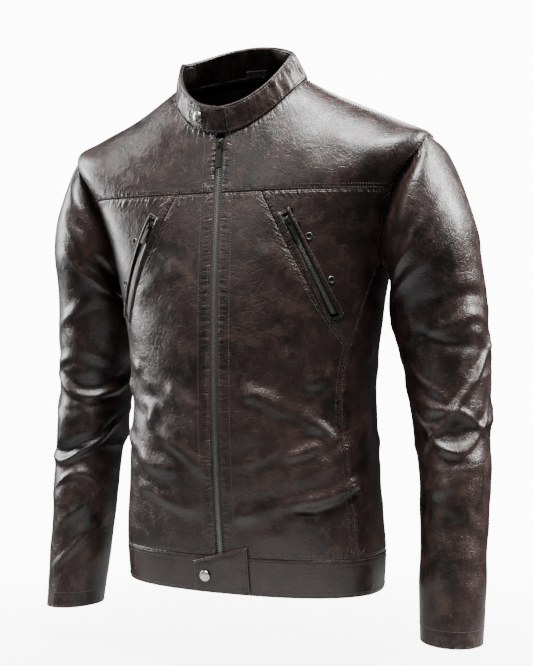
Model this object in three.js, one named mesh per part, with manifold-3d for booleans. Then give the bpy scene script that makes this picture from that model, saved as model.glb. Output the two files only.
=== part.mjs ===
// A leather riding jacket, filled out as if it were worn: stand collar with a snapped tab, full-length
// front zip, front and back yokes, two slanted zipped chest pockets with vent eyelets, a hem band with
// a snapped tab, and two-piece sleeves. Millimetres, +X is the wearer's left, -Y the front, +Z up.
// Heights are first counted from the bottom of the hem; the last lines move the jacket so that its
// origin is the point between the wearer's shoulders that carries it.
import * as THREE from "three";
import { mergeVertices } from "three/addons/utils/BufferGeometryUtils.js";
import Module from "manifold-3d";

const wasm = await Module();
wasm.setup();

// ---------------------------------------------------------------- driving dimensions
const REST = { y: -30, z: 600 }; // where the wearer's shoulders carry the jacket
const LEATHER = 1.2; // thickness of the hide
const LINING = 0.8; // thickness of the lining cloth
const LINING_DEPTH = 7; // from the hide's face down to the sleeve's lining
const BODY_LINING_DEPTH = 9.2; // and down to the body's lining, which clears the pocket bags
const SEAM = 1.0; // each panel stops this far short of its seam line

const ARC = { r: 1620, y: -123, z: 305 }; // the front edge in profile: radius, foremost point
const BAND = 48; // height of the hem band
const YOKE_FRONT = 496; // height of the front yoke seam
const YOKE_BACK = 530; // height of the back yoke seam
const ZIP_EDGE = 6; // the hide's edge stands this far from the middle of the zip
const COLLAR_LAY = 1.6; // from one layer of the collar to the next

// A chest pocket's zip: its two ends, its outward bow, and half the width of its opening.
const POCKET = { topX: 89, topZ: 468, bottomX: 143, bottomZ: 343, bow: 3.2, half: 6 };
const SLANT = { x: 66, perMm: 0.45 }; // the slanted seam: its start at the yoke, and its slope
const EYELETS = [[119, 440], [141.5, 388]]; // x and height of the vent eyelets beside a pocket
const ELBOW = 0.545; // where the elbow is, as a share of the sleeve's length
const CLEAR = 0.012; // the sleeve starts this far down from the armhole, as a share of its length

// ---------------------------------------------------------------- the body's form
// Rings from the hem (v 0) to the neck (v 1): v, half width, y of the side, y of the back,
// height at the side, at the front and at the back, and the ring's squareness.
const RINGS = [
  [0.0, 173, 0, 112, 0, 0, 0, 2.3],
  [0.08, 175, 0, 114, 50, 50, 50, 2.3],
  [0.2, 168, 0, 112, 150, 146, 150, 2.3],
  [0.32, 162, -2, 112, 240, 232, 242, 2.3],
  [0.45, 171, -6, 118, 335, 318, 345, 2.3],
  [0.58, 188, -12, 122, 430, 398, 445, 2.4],
  [0.7, 216, -18, 118, 508, 462, 530, 2.5],
  [0.8, 243, -24, 100, 564, 508, 592, 2.5],
  [0.88, 206, -30, 76, 582, 536, 626, 2.3],
  [0.95, 138, -37, 46, 612, 556, 650, 2.1],
  [1.0, 89, -41, 19, 641, 571, 661, 2.0],
];
// The armhole is an ellipse in the body's own (u, v): u is the angle round the body, 0 at the side.
const ARMHOLE = { low: 0.545, high: 0.8, front: 0.28, back: 0.4 };
// Sleeve rings below the armhole: share of length, centre x y z, radii out and fore-aft, tilt.
const SLEEVE = [
  [0.1, 224, 0, 474, 80, 78, 64],
  [0.22, 240, 2, 424, 66, 74, 42],
  [0.36, 242, 20, 360, 60, 67, 16],
  [0.58, 257, 29, 235, 48, 58, 3],
  [0.8, 264, 14, 100, 43, 50, -2],
  [1.0, 267, -9, -50, 38, 43, -3],
];
const COLLAR_TOP = { x: 77, y: -54, depth: 54, side: 671, front: 602, back: 696 };

const rad = THREE.MathUtils.degToRad;
const lerp = THREE.MathUtils.lerp;
const vec = (x, y, z) => new THREE.Vector3(x, y, z);

// Slopes at the knots of a curve through (xs, ys), as a weighted mean of the neighbours' slopes.
function slopes(xs, ys) {
  const last = xs.length - 1;
  return xs.map((x, i) => {
    if (i === 0) return (ys[1] - ys[0]) / (xs[1] - xs[0]);
    if (i === last) return (ys[i] - ys[i - 1]) / (xs[i] - xs[i - 1]);
    const before = x - xs[i - 1];
    const after = xs[i + 1] - x;
    const rise = (before * before * (ys[i + 1] - ys[i]) + after * after * (ys[i] - ys[i - 1]));
    return rise / (before * after * (before + after));
  });
}

// The smooth curve through (xs, ys), as a function of x.
function curve(xs, ys) {
  const m = slopes(xs, ys);
  return (x) => {
    let i = 0;
    while (i < xs.length - 2 && x >= xs[i + 1]) i++;
    const h = xs[i + 1] - xs[i];
    const t = (x - xs[i]) / h;
    const t2 = t * t;
    const t3 = t2 * t;
    return (2 * t3 - 3 * t2 + 1) * ys[i] + (t3 - 2 * t2 + t) * h * m[i]
      + (3 * t2 - 2 * t3) * ys[i + 1] + (t3 - t2) * h * m[i + 1];
  };
}

const ringKnots = RINGS.map((r) => r[0]);
const [halfWidth, sideY, backY, sideZ, frontZ, backZ, squareness] = [1, 2, 3, 4, 5, 6, 7].map(
  (k) => curve(ringKnots, RINGS.map((r) => r[k])),
);
const frontY = (z) => ARC.y + ARC.r - Math.sqrt(ARC.r ** 2 - (z - ARC.z) ** 2);

// A point of the body at angle u and ring v. u is -90 degrees at the front and +90 at the back.
function bodyPoint(u, v) {
  const c = Math.cos(u);
  const s = Math.sin(u);
  const e = 2 / squareness(v);
  const across = Math.abs(s) ** e;
  const rise = Math.abs(s) ** 1.6;
  const x = halfWidth(v) * Math.sign(c) * Math.abs(c) ** e;
  const endY = s < 0 ? frontY(frontZ(v)) : backY(v);
  const endZ = s < 0 ? frontZ(v) : backZ(v);
  return vec(x, lerp(sideY(v), endY, across), lerp(sideZ(v), endZ, rise));
}

// The same point moved out by d along the surface's own normal.
function offset(surface, a, b, d) {
  const step = 0.004;
  const along = surface(a + step, b).sub(surface(a - step, b));
  const up = surface(a, b + step).sub(surface(a, b - step));
  return surface(a, b).addScaledVector(along.cross(up).normalize(), d);
}
const bodySafe = (u, v) => bodyPoint(u, THREE.MathUtils.clamp(v, 0, 1));
const onBody = (u, v, d) => offset(bodySafe, u, THREE.MathUtils.clamp(v, 0.005, 0.995), d)
  .add(bodySafe(u, v)).sub(bodySafe(u, THREE.MathUtils.clamp(v, 0.005, 0.995)));

// The angle where ring v is x from the middle, on the front.
const angleAtX = (v, x) => -Math.acos(Math.sign(x) * (Math.abs(x) / halfWidth(v)) ** (squareness(v) / 2));
// The ring that has height z at angle u.
function ringAtZ(u, z) {
  let low = 0;
  let high = 1;
  for (let i = 0; i < 30; i++) {
    const mid = (low + high) / 2;
    if (bodyPoint(u, mid).z < z) low = mid;
    else high = mid;
  }
  return (low + high) / 2;
}
const armMiddle = (ARMHOLE.low + ARMHOLE.high) / 2;
const armReach = (ARMHOLE.high - ARMHOLE.low) / 2;
// The armhole's angle from the side at ring v, 0 above and below it.
const armWidth = (v) => Math.sqrt(Math.max(0, 1 - ((v - armMiddle) / armReach) ** 2));
const armholePoint = (t) => bodyPoint(
  (Math.sin(t) < 0 ? ARMHOLE.front : ARMHOLE.back) * Math.sin(t),
  armMiddle + armReach * Math.cos(t),
);

// ---------------------------------------------------------------- the sleeve's and collar's form
const sleeveKnots = [0, ...SLEEVE.map((r) => r[0])];
function sleeveRing(k, t) {
  if (k === 0) return armholePoint(t);
  const [, x, y, z, out, deep, tilt] = SLEEVE[k - 1];
  const a = rad(tilt);
  return vec(x + out * Math.cos(t) * Math.cos(a), y + deep * Math.sin(t), z + out * Math.cos(t) * Math.sin(a));
}
// A point of the wearer's left sleeve: s runs from the armhole to the cuff, t round it, 0 outside.
function sleevePoint(t, s) {
  const knots = sleeveKnots.map((_, k) => sleeveRing(k, t));
  return vec(...["x", "y", "z"].map((axis) => curve(sleeveKnots, knots.map((p) => p[axis]))(s)));
}
const onSleeve = (t, s, d) => offset(sleevePoint, t, THREE.MathUtils.clamp(s, 0.004, 0.996), -d)
  .add(sleevePoint(t, s)).sub(sleevePoint(t, THREE.MathUtils.clamp(s, 0.004, 0.996)));

function collarPoint(u, k) {
  const s = Math.sin(u);
  const end = s < 0 ? COLLAR_TOP.front : COLLAR_TOP.back;
  const top = vec(
    COLLAR_TOP.x * Math.cos(u),
    COLLAR_TOP.y + COLLAR_TOP.depth * s,
    lerp(COLLAR_TOP.side, end, Math.abs(s) ** (s < 0 ? 1.3 : 1.6)),
  );
  return bodyPoint(u, 1).lerp(top, k);
}
const onCollar = (u, k, d) => offset(collarPoint, u, k, d);

// ---------------------------------------------------------------- solids
const group = new THREE.Group();
group.position.set(0, -REST.y, -REST.z);

const HIDE = { color: 0x33221e, roughness: 0.34, metalness: 0 };
const CLOTH = { color: 0x15100f, roughness: 0.8, metalness: 0 };
const STEEL = { color: 0xb9b6ae, roughness: 0.25, metalness: 1 };
const BLACK_METAL = { color: 0x2b2a28, roughness: 0.35, metalness: 1 };

function place(name, geometry, look) {
  const mesh = new THREE.Mesh(geometry, new THREE.MeshStandardMaterial(look));
  mesh.name = name;
  group.add(mesh);
  return mesh;
}

function geometryOf(points, triangles) {
  let volume = 0;
  for (const [a, b, c] of triangles) volume += points[a].dot(points[b].clone().cross(points[c]));
  const faces = volume < 0 ? triangles.map(([a, b, c]) => [a, c, b]) : triangles;
  const geometry = new THREE.BufferGeometry().setFromPoints(points);
  geometry.setIndex(faces.flat());
  return geometry.toNonIndexed();
}

// A closed shell between offsets low and high of a patch: at(a, b, d) with a and b from 0 to 1.
// With wrap it is a tube, closed on itself in a.
function shell(at, across, up, low, high, wrap = false) {
  const columns = wrap ? across : across + 1;
  const points = [];
  for (const d of [high, low]) {
    for (let j = 0; j <= up; j++) {
      for (let i = 0; i < columns; i++) points.push(at(i / across, j / up, d));
    }
  }
  const id = (i, j, layer) => layer * columns * (up + 1) + j * columns + (i % columns);
  const triangles = [];
  const quad = (a, b, c, d) => triangles.push([a, b, c], [a, c, d]);
  for (let j = 0; j < up; j++) {
    for (let i = 0; i < across; i++) {
      quad(id(i, j, 0), id(i + 1, j, 0), id(i + 1, j + 1, 0), id(i, j + 1, 0));
      quad(id(i, j, 1), id(i, j + 1, 1), id(i + 1, j + 1, 1), id(i + 1, j, 1));
    }
  }
  for (let i = 0; i < across; i++) {
    quad(id(i, 0, 0), id(i, 0, 1), id(i + 1, 0, 1), id(i + 1, 0, 0));
    quad(id(i, up, 0), id(i + 1, up, 0), id(i + 1, up, 1), id(i, up, 1));
  }
  if (!wrap) {
    for (let j = 0; j < up; j++) {
      quad(id(0, j, 0), id(0, j + 1, 0), id(0, j + 1, 1), id(0, j, 1));
      quad(id(across, j, 0), id(across, j, 1), id(across, j + 1, 1), id(across, j + 1, 0));
    }
  }
  return geometryOf(points, triangles);
}

function solid(geometry) {
  const bare = geometry.clone();
  for (const name of Object.keys(bare.attributes)) if (name !== "position") bare.deleteAttribute(name);
  const merged = mergeVertices(bare, 1e-3);
  return new wasm.Manifold(new wasm.Mesh({
    numProp: 3,
    vertProperties: merged.attributes.position.array,
    triVerts: new Uint32Array(merged.index.array),
  }));
}

function geometryFrom(manifold) {
  const mesh = manifold.getMesh();
  const geometry = new THREE.BufferGeometry();
  geometry.setAttribute("position", new THREE.BufferAttribute(mesh.vertProperties, 3));
  geometry.setIndex(new THREE.BufferAttribute(mesh.triVerts, 1));
  return geometry;
}
const join = (...geometries) => geometryFrom(geometries.map(solid).reduce((a, b) => a.add(b)));
const cut = (geometry, ...cutters) => geometryFrom(
  cutters.map(solid).reduce((a, b) => a.subtract(b), solid(geometry)),
);

// ---------------------------------------------------------------- body panels
// A patch of the body between two edges: left(v) and right(v) are angles, bottom(u) and top(u)
// rings. side is 1 on the wearer's left and -1 on the right, where the patch is mirrored.
function bodyPatch(side, left, right, bottom, top) {
  return (a, b, d) => {
    let v = lerp(bottom(-0.8), top(-0.8), b);
    let u = 0;
    for (let i = 0; i < 12; i++) {
      u = lerp(left(v), right(v), a);
      v = lerp(bottom(u), top(u), b);
    }
    if (side > 0) return onBody(u, v, d);
    const mirrored = onBody(Math.PI - u, v, d);
    return mirrored;
  };
}
// Angle and ring steps as wide as the seam gap, near the place they are used.
const turn = (v) => SEAM / halfWidth(v);
const RING_STEP = SEAM / 700;

const zipEdge = (v) => angleAtX(v, ZIP_EDGE);
const slant = (v) => {
  const z = bodyPoint(-0.9, v).z;
  return angleAtX(v, SLANT.x + (YOKE_FRONT - z) * SLANT.perMm);
};
const PANEL_EDGE = 0.56; // the princess and back seams run into the armhole at this ring
const JUNCTION = 0.425; // the slanted seam meets the princess seam at this ring
const princess = curve(
  [0, 0.08, 0.17, 0.27, 0.33, 0.39, 0.49, PANEL_EDGE],
  [-25, -25, -26, -28, -28.5, -27, -17, -7.6].map(rad),
);
const backSeam = curve([0, 0.3, PANEL_EDGE], [24, 22, 10.8].map(rad));
const frontArm = (v) => -ARMHOLE.front * armWidth(v);
const backArm = (v) => ARMHOLE.back * armWidth(v);

const bandTop = (u) => ringAtZ(u, BAND);
const yokeSeam = (u) => ringAtZ(u, YOKE_FRONT);
const backYokeSeam = (u) => ringAtZ(u, YOKE_BACK);
const up = (f, steps) => (u) => f(u) + steps * RING_STEP;

// The edges of the panels on the wearer's left, as angles at ring v.
const sideSeamFront = (v) => (v < PANEL_EDGE ? princess(v) : frontArm(v));
const sideSeamBack = (v) => (v < PANEL_EDGE ? backSeam(v) : backArm(v));
const frontOuter = (v) => (v < JUNCTION ? princess(v) : Math.min(slant(v), sideSeamFront(v))) - turn(v);
const outerInner = (v) => slant(v) + turn(v);
const outerOuter = (v) => sideSeamFront(v) - 2 * turn(v);
const yokeOuter = (v) => -turn(v) * 2 + frontArm(v);
const backYokeOuter = (v) => turn(v) * 2 + backArm(v);
const armholeFloor = (u) => armMiddle - armReach * Math.sqrt(
  Math.max(0, 1 - (u / (u < 0 ? ARMHOLE.front : ARMHOLE.back)) ** 2),
);
const sideTop = (u) => Math.min(PANEL_EDGE, armholeFloor(u)) - 3 * RING_STEP;

// The point of the front at x and height z, as angle and ring, on the wearer's left or right.
function frontAt(x, z) {
  let u = -1;
  let v = 0.5;
  for (let i = 0; i < 14; i++) {
    v = ringAtZ(u, z);
    u = angleAtX(v, x);
  }
  return [u, v];
}

// Where a pocket's zip runs on the body, as three points from its top to its bottom.
function pocketLine(side) {
  return [0, 0.5, 1].map((k) => {
    const x = lerp(POCKET.topX, POCKET.bottomX, k) + (k === 0.5 ? POCKET.bow : 0);
    return bodyPoint(...frontAt(side * x, lerp(POCKET.topZ, POCKET.bottomZ, k)));
  });
}

// ---------------------------------------------------------------- zips
// A zip lies on a circular arc: at(s, x, d) is the point s along it from its middle, x to one side
// and d out from the hide's face. turn(angle) is the frame of a piece that has gone round the arc.
function arcThrough(top, middle, bottom) {
  const a = top.clone().sub(bottom);
  const b = middle.clone().sub(bottom);
  const normal = a.clone().cross(b);
  const toCentre = b.clone().cross(normal).multiplyScalar(a.lengthSq())
    .add(normal.clone().cross(a).multiplyScalar(b.lengthSq()))
    .divideScalar(2 * normal.lengthSq());
  const centre = bottom.clone().add(toCentre);
  const r = centre.distanceTo(middle);
  return { centre, r, out: middle.clone().sub(centre).normalize(), along: a.normalize() };
}

function zipFrame({ centre, r, out, along }) {
  const n = out.clone().normalize();
  const t = along.clone().addScaledVector(n, -along.dot(n)).normalize();
  const side = t.clone().cross(n).normalize();
  return {
    centre, r, n, t, side,
    at: (s, x, d) => centre.clone()
      .addScaledVector(n, (r + d) * Math.cos(s / r))
      .addScaledVector(t, (r + d) * Math.sin(s / r))
      .addScaledVector(side, x),
  };
}

// A bar of rectangular section along a zip's arc.
const bar = (zip, s0, s1, x0, x1, d0, d1, steps) => shell(
  (a, b, d) => zip.at(lerp(s0, s1, b), lerp(x0, x1, a), d), 1, steps, d0, d1,
);

// Puts a geometry made about its own origin (x across, y along the zip, z out) on the zip at s.
function setOn(zip, s, geometry) {
  const a = s / zip.r;
  const out = zip.n.clone().multiplyScalar(Math.cos(a)).addScaledVector(zip.t, Math.sin(a));
  const along = zip.t.clone().multiplyScalar(Math.cos(a)).addScaledVector(zip.n, -Math.sin(a));
  const frame = new THREE.Matrix4().makeBasis(zip.side, along, out).setPosition(zip.at(s, 0, 0));
  return geometry.applyMatrix4(frame);
}

const box = (x0, x1, y0, y1, z0, z1) => new THREE.BoxGeometry(x1 - x0, y1 - y0, z1 - z0)
  .translate((x0 + x1) / 2, (y0 + y1) / 2, (z0 + z1) / 2);

const TEETH = { near: 1.1, far: 3.3, low: -3.2, high: -0.9 };
const TAPE = { near: 3.6, low: -2.6, high: -1.9 };

// The slider's two wings, the wedge between the rows of teeth, and the crown that holds the pull.
function sliderBody(size) {
  const half = 4.6 * size;
  const length = 5 * size;
  const wings = join(
    box(-half, half, -length, length, -0.5, 0.9),
    box(-half * 0.8, half * 0.8, -length, length, -5, -3.6),
    box(-0.7, 0.7, -length * 0.8, length * 0.8, -3.8, -0.3),
    box(-0.8, 0.8, -3.4, 3.4, 0.7, 3.9),
  );
  return cut(wings, box(-2, 2, -2.1, 2.1, 1.2, 3.1));
}
// The pull hangs from a cross bar through the crown.
function pullTab(width, length) {
  const plate = join(
    box(-3, 3, -8, 0.6, 1.6, 2.7),
    box(-width / 2, width / 2, -length, -7, 1.6, 2.7),
  );
  return cut(plate, box(-1.5, 1.5, -5.4, -0.6, 0, 4));
}

// A frame of rectangular section round a slot, joined at both ends.
const slotted = (zip, half, outer, inner, d0, d1) => cut(
  bar(zip, -half, half, -outer, outer, d0, d1, 6),
  bar(zip, 3 - half, half - 3, -inner, inner, d0 - 1, d1 + 1, 6),
);

function buildSlider(name, zip, at, size, pull) {
  place(`${name}_slider`, setOn(zip, at, sliderBody(size)), BLACK_METAL);
  place(`${name}_pull`, setOn(zip, at, pullTab(pull.width, pull.length)), BLACK_METAL);
}

const mainZip = zipFrame({
  centre: vec(0, ARC.y + ARC.r, ARC.z), r: ARC.r, out: vec(0, -1, 0), along: vec(0, 0, 1),
});
const arcAt = (z) => ARC.r * Math.asin((z - ARC.z) / ARC.r);
const MAIN = { bottom: arcAt(10), top: arcAt(566), slider: arcAt(556), tape: 14 };
for (const [label, k] of [["left", 1], ["right", -1]]) {
  const tape = bar(mainZip, MAIN.bottom + 14, MAIN.top, k * TAPE.near, k * MAIN.tape, TAPE.low, TAPE.high, 16);
  const teeth = bar(mainZip, MAIN.bottom + 14, MAIN.top, k * TEETH.near, k * TEETH.far, TEETH.low, TEETH.high, 16);
  place(`main_zip_tape_${label}`, tape, CLOTH);
  place(`main_zip_teeth_${label}`, teeth, BLACK_METAL);
}
buildSlider("main_zip", mainZip, MAIN.slider, 1, { width: 7.6, length: 29 });
place("main_zip_box", bar(mainZip, MAIN.bottom, MAIN.bottom + 13, -4.5, 4.5, -3.8, -0.4, 1), BLACK_METAL);

// ---------------------------------------------------------------- fronts and sides
const sides = [["left", 1], ["right", -1]];
const measures = { main: { centre: mainZip.centre, r: mainZip.r, slider: mainZip.at(MAIN.slider, 0, 2.15) } };
const neckEdge = () => 1 - 2 * RING_STEP;
for (const [label, side] of sides) {
  const line = pocketLine(side);
  const zip = zipFrame(arcThrough(...line));
  const half = line[0].distanceTo(line[2]) / 2;
  measures[label] = { centre: zip.centre, r: zip.r, side: zip.side, half, slider: zip.at(half - 11, 0, 2.15) };

  const window = bar(zip, -half, half, -POCKET.half, POCKET.half, -9, 9, 6);
  const front = bodyPatch(side, zipEdge, frontOuter, up(bandTop, 1), up(yokeSeam, -1));
  place(`${label}_front_panel`, shell(front, 7, 12, -LEATHER, 0), HIDE);
  const outer = bodyPatch(side, outerInner, outerOuter, () => JUNCTION + 8 * RING_STEP, up(yokeSeam, -1));
  place(`${label}_front_outer_panel`, cut(shell(outer, 6, 10, -LEATHER, 0), window), HIDE);
  const sideFrom = (v) => princess(v) + turn(v);
  const sideTo = (v) => backSeam(v) - turn(v);
  const flank = bodyPatch(side, sideFrom, sideTo, up(bandTop, 1), sideTop);
  place(`${label}_side_panel`, shell(flank, 6, 10, -LEATHER, 0), HIDE);
  const yoke = bodyPatch(side, zipEdge, yokeOuter, up(yokeSeam, 1), neckEdge);
  place(`${label}_front_yoke`, shell(yoke, 9, 9, -LEATHER, 0), HIDE);
  const band = bodyPatch(side, zipEdge, () => rad(8), () => 0, up(bandTop, -1));
  place(`${label}_hem_band`, shell(band, 12, 2, -1.3 * LEATHER, 0), HIDE);

  // The pocket: a narrow frame of hide round its zip, and the bag that hangs behind the front.
  const onFront = (s, x, d) => {
    const p = zip.at(s, x, 0);
    const [u, v] = frontAt(Math.abs(p.x), p.z);
    return side > 0 ? onBody(u, v, d) : onBody(Math.PI - u, v, d);
  };
  const weltHalf = POCKET.half + 3.5;
  const weltAt = (a, b, d) => onFront(lerp(-half - 4, half + 4, b), lerp(-weltHalf, weltHalf, a), d);
  const welt = shell(weltAt, 2, 6, 0.9, 1.8);
  const gap = bar(zip, -half, half, -POCKET.half + 0.6, POCKET.half - 0.6, -1, 3, 6);
  place(`${label}_pocket_welt`, cut(welt, gap), HIDE);
  place(`${label}_pocket_zip_tape`, slotted(zip, half - 0.5, POCKET.half - 0.4, TAPE.near, TAPE.low, TAPE.high), CLOTH);
  place(`${label}_pocket_zip_teeth`, slotted(zip, half - 4, TEETH.far, TEETH.near, TEETH.low, TEETH.high), BLACK_METAL);
  buildSlider(`${label}_pocket_zip`, zip, half - 11, 0.8, { width: 5.6, length: 24 });
  const bag = bodyPatch(side, () => rad(-68), () => rad(-24), () => 0.37, () => 0.6);
  place(`${label}_pocket_bag`, shell(bag, 6, 6, -7.2, -6.2), CLOTH);
  for (const [i, [x, z]] of EYELETS.entries()) {
    const ring = (a, b, d) => {
      const r = lerp(2.3, 4.1, b);
      const turned = a * 2 * Math.PI;
      const at = frontAt(x + r * Math.cos(turned) * 0.94, z + r * Math.sin(turned));
      return side > 0 ? onBody(...at, d) : onBody(Math.PI - at[0], at[1], d);
    };
    place(`${label}_eyelet_${i + 1}`, shell(ring, 10, 1, 0.5, 1.5, true), BLACK_METAL);
  }
}

// ---------------------------------------------------------------- back and hem
const backPatch = (edge, bottom, top) => bodyPatch(1, edge, (v) => Math.PI - edge(v), bottom, top);
const backPanel = backPatch((v) => sideSeamBack(v) + 2 * turn(v), up(bandTop, 1), up(backYokeSeam, -1));
place("back_panel", shell(backPanel, 14, 9, -LEATHER, 0), HIDE);
const backYoke = backPatch(backYokeOuter, up(backYokeSeam, 1), neckEdge);
place("back_yoke", shell(backYoke, 14, 7, -LEATHER, 0), HIDE);
const backBand = backPatch((v) => rad(8) + 2 * turn(v), () => 0, up(bandTop, -1));
place("back_hem_band", shell(backBand, 14, 2, -1.3 * LEATHER, 0), HIDE);

// ---------------------------------------------------------------- collar
const collarFrom = zipEdge(1);
const collarTo = Math.PI - collarFrom;
const collar = (a, b, d) => onCollar(lerp(collarFrom, collarTo, a), lerp(0.03, 0.99, b), d);
place("collar_outer", shell(collar, 24, 2, -LEATHER, 0), HIDE);
place("collar_facing", shell(collar, 24, 2, -LEATHER - 1 - COLLAR_LAY, -1 - COLLAR_LAY), HIDE);

// The collar's snapped tab is pointed, and crosses from the wearer's left to the right.
const tabHalf = curve([0, 0.7, 0.85, 1], [0.34, 0.33, 0.24, 0.1]);
const collarTab = (a, b, d) => onCollar(rad(lerp(-84, -119, a)), 0.52 + tabHalf(a) * (2 * b - 1), d);
place("collar_tab", shell(collarTab, 8, 2, 2.2, 3.6), HIDE);

function button(centre, out, radius, d0, d1) {
  const can = new THREE.CylinderGeometry(radius, radius, d1 - d0, 20).translate(0, (d0 + d1) / 2, 0);
  can.applyQuaternion(new THREE.Quaternion().setFromUnitVectors(vec(0, 1, 0), out));
  return can.translate(centre.x, centre.y, centre.z);
}
const collarSnap = onCollar(rad(-110), 0.52, 0);
const collarOut = onCollar(rad(-110), 0.52, 1).sub(collarSnap).normalize();
place("collar_snap_cap", button(collarSnap, collarOut, 7, 4.2, 6), STEEL);
place("collar_snap_stud", button(collarSnap, collarOut, 4, 0.4, 1.8), STEEL);

// The hem's snapped tab: sewn at its wearer's-left end, wider there.
const hemTab = (a, b, d) => {
  const x = lerp(42, -37, a);
  return onBody(...frontAt(x, lerp(6, lerp(62, 40, a), b)), d);
};
place("hem_tab", shell(hemTab, 8, 3, 2.2, 3.6), HIDE);
const hemSnap = onBody(...frontAt(-21, 23), 0);
const hemOut = onBody(...frontAt(-21, 23), 1).sub(hemSnap).normalize();
place("hem_snap_cap", button(hemSnap, hemOut, 7, 3.9, 5.7), STEEL);
place("hem_snap_stud", button(hemSnap, hemOut, 4, 0.4, 1.8), STEEL);
measures.collarHinge = [collarTab(0, 0, 2.9), collarTab(0, 1, 2.9)];
measures.hemHinge = [hemTab(0, 0, 2.9), hemTab(0, 1, 2.9)];

// ---------------------------------------------------------------- linings
const liningFront = (v) => frontArm(v) - turn(v) * 9;
const liningBack = (v) => backArm(v) + turn(v) * 16;
for (const [label, side] of sides) {
  const front = bodyPatch(side, (v) => angleAtX(v, 22), liningFront, () => 0.03, () => 0.975);
  place(`${label}_body_lining`, shell(front, 6, 10, -BODY_LINING_DEPTH - LINING, -BODY_LINING_DEPTH), CLOTH);
}
const inside = backPatch(liningBack, () => 0.03, () => 0.975);
place("back_body_lining", shell(inside, 12, 10, -BODY_LINING_DEPTH - LINING, -BODY_LINING_DEPTH), CLOTH);
const loop = (a, b, d) => onCollar(rad(lerp(82, 98, a)), lerp(0.1, 0.28, b), d);
place("hanger_loop", shell(loop, 3, 1, -7, -5), CLOTH);

// ---------------------------------------------------------------- sleeves
for (const [label, side] of sides) {
  const tube = (s0, s1) => (a, b, d) => {
    const p = onSleeve(a * 2 * Math.PI, lerp(s0, s1, b), d);
    return vec(side * p.x, p.y, p.z);
  };
  place(`${label}_upper_sleeve`, shell(tube(CLEAR, ELBOW - 0.002), 20, 8, -LEATHER, 0, true), HIDE);
  place(`${label}_lower_sleeve`, shell(tube(ELBOW + 0.002, 1), 20, 5, -LEATHER, 0, true), HIDE);
  const deep = -LINING_DEPTH - LINING;
  place(`${label}_upper_sleeve_lining`, shell(tube(0.05, ELBOW - 0.01), 16, 5, deep, -LINING_DEPTH, true), CLOTH);
  place(`${label}_lower_sleeve_lining`, shell(tube(ELBOW + 0.01, 0.97), 16, 4, deep, -LINING_DEPTH, true), CLOTH);
}
measures.shoulder = armholePoint(0);
measures.elbowFront = sleevePoint(-Math.PI / 2, ELBOW);
measures.elbowBack = sleevePoint(Math.PI / 2, ELBOW);
export { measures };
export default group;
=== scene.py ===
# A leather riding jacket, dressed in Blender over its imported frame. Lengths in the form functions are in
# millimetres from the bottom of the hem, as in the part; place() turns them into the row frame in metres.
import math
import bpy
import numpy as np
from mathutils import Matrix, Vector


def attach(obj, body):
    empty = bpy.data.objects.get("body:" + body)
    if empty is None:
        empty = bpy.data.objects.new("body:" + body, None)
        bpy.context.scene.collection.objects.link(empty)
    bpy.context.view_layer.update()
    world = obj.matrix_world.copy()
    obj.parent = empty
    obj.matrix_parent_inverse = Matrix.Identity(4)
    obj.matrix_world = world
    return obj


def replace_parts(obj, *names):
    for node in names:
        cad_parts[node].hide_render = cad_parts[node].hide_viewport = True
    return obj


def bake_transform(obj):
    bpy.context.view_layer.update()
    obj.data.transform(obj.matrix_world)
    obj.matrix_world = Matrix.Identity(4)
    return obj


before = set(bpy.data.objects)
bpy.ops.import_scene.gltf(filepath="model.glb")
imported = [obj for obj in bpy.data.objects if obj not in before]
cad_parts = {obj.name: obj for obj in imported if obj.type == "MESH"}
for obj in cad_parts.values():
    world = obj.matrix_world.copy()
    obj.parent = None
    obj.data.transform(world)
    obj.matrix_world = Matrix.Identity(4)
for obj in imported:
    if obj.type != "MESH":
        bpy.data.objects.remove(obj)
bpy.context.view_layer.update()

# ---------------- driving dimensions, mm
REST_Y = -30.0  # the row frame's origin, in the form's own coordinates
REST_Z = 600.0
GRID = 3.0  # spacing of a panel's mesh
HIDE = 1.2  # thickness of the hide
SEAM = 0.35  # half the gap between two sewn panels
ARC_R = 1620.0  # the front edge in profile
ARC_Y = -123.0
ARC_Z = 305.0
BAND = 48.0
YOKE_FRONT = 496.0
YOKE_BACK = 530.0
ZIP_EDGE = 6.0
POCKET_TOP = (89.0, 468.0)
POCKET_BOTTOM = (143.0, 343.0)
POCKET_BOW = 3.2
POCKET_HALF = 6.0
SLANT_X = 66.0
SLANT_SLOPE = 0.45
EYELETS = ((119.0, 440.0), (141.5, 388.0))
SLEEVE_SPLIT = 0.47  # where the sleeve's mesh is in two, between the shoulder and the elbow
CUFF_STITCH = 20.0
STITCH = 3.4  # one stitch and its gap
BAND_HIDE = 1.5  # thicknesses
COLLAR_HIDE = 1.3
TAB_HIDE = 1.4
CLOTH = 0.8
BODY_LINING = -9.2  # how far a lining lies from the smooth form
SLEEVE_LINING = -7.0
SIDES = (("left", 1), ("right", -1))
CAMERA_TURN = 24.0  # degrees round to the wearer's left
CAMERA_AWAY = 1650.0
CAMERA_HEIGHT = 330.0
LENS = 68.10811
LENS_SHIFT = (0.0187688, -0.0075075)
FLOOR = -0.70  # metres

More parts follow.
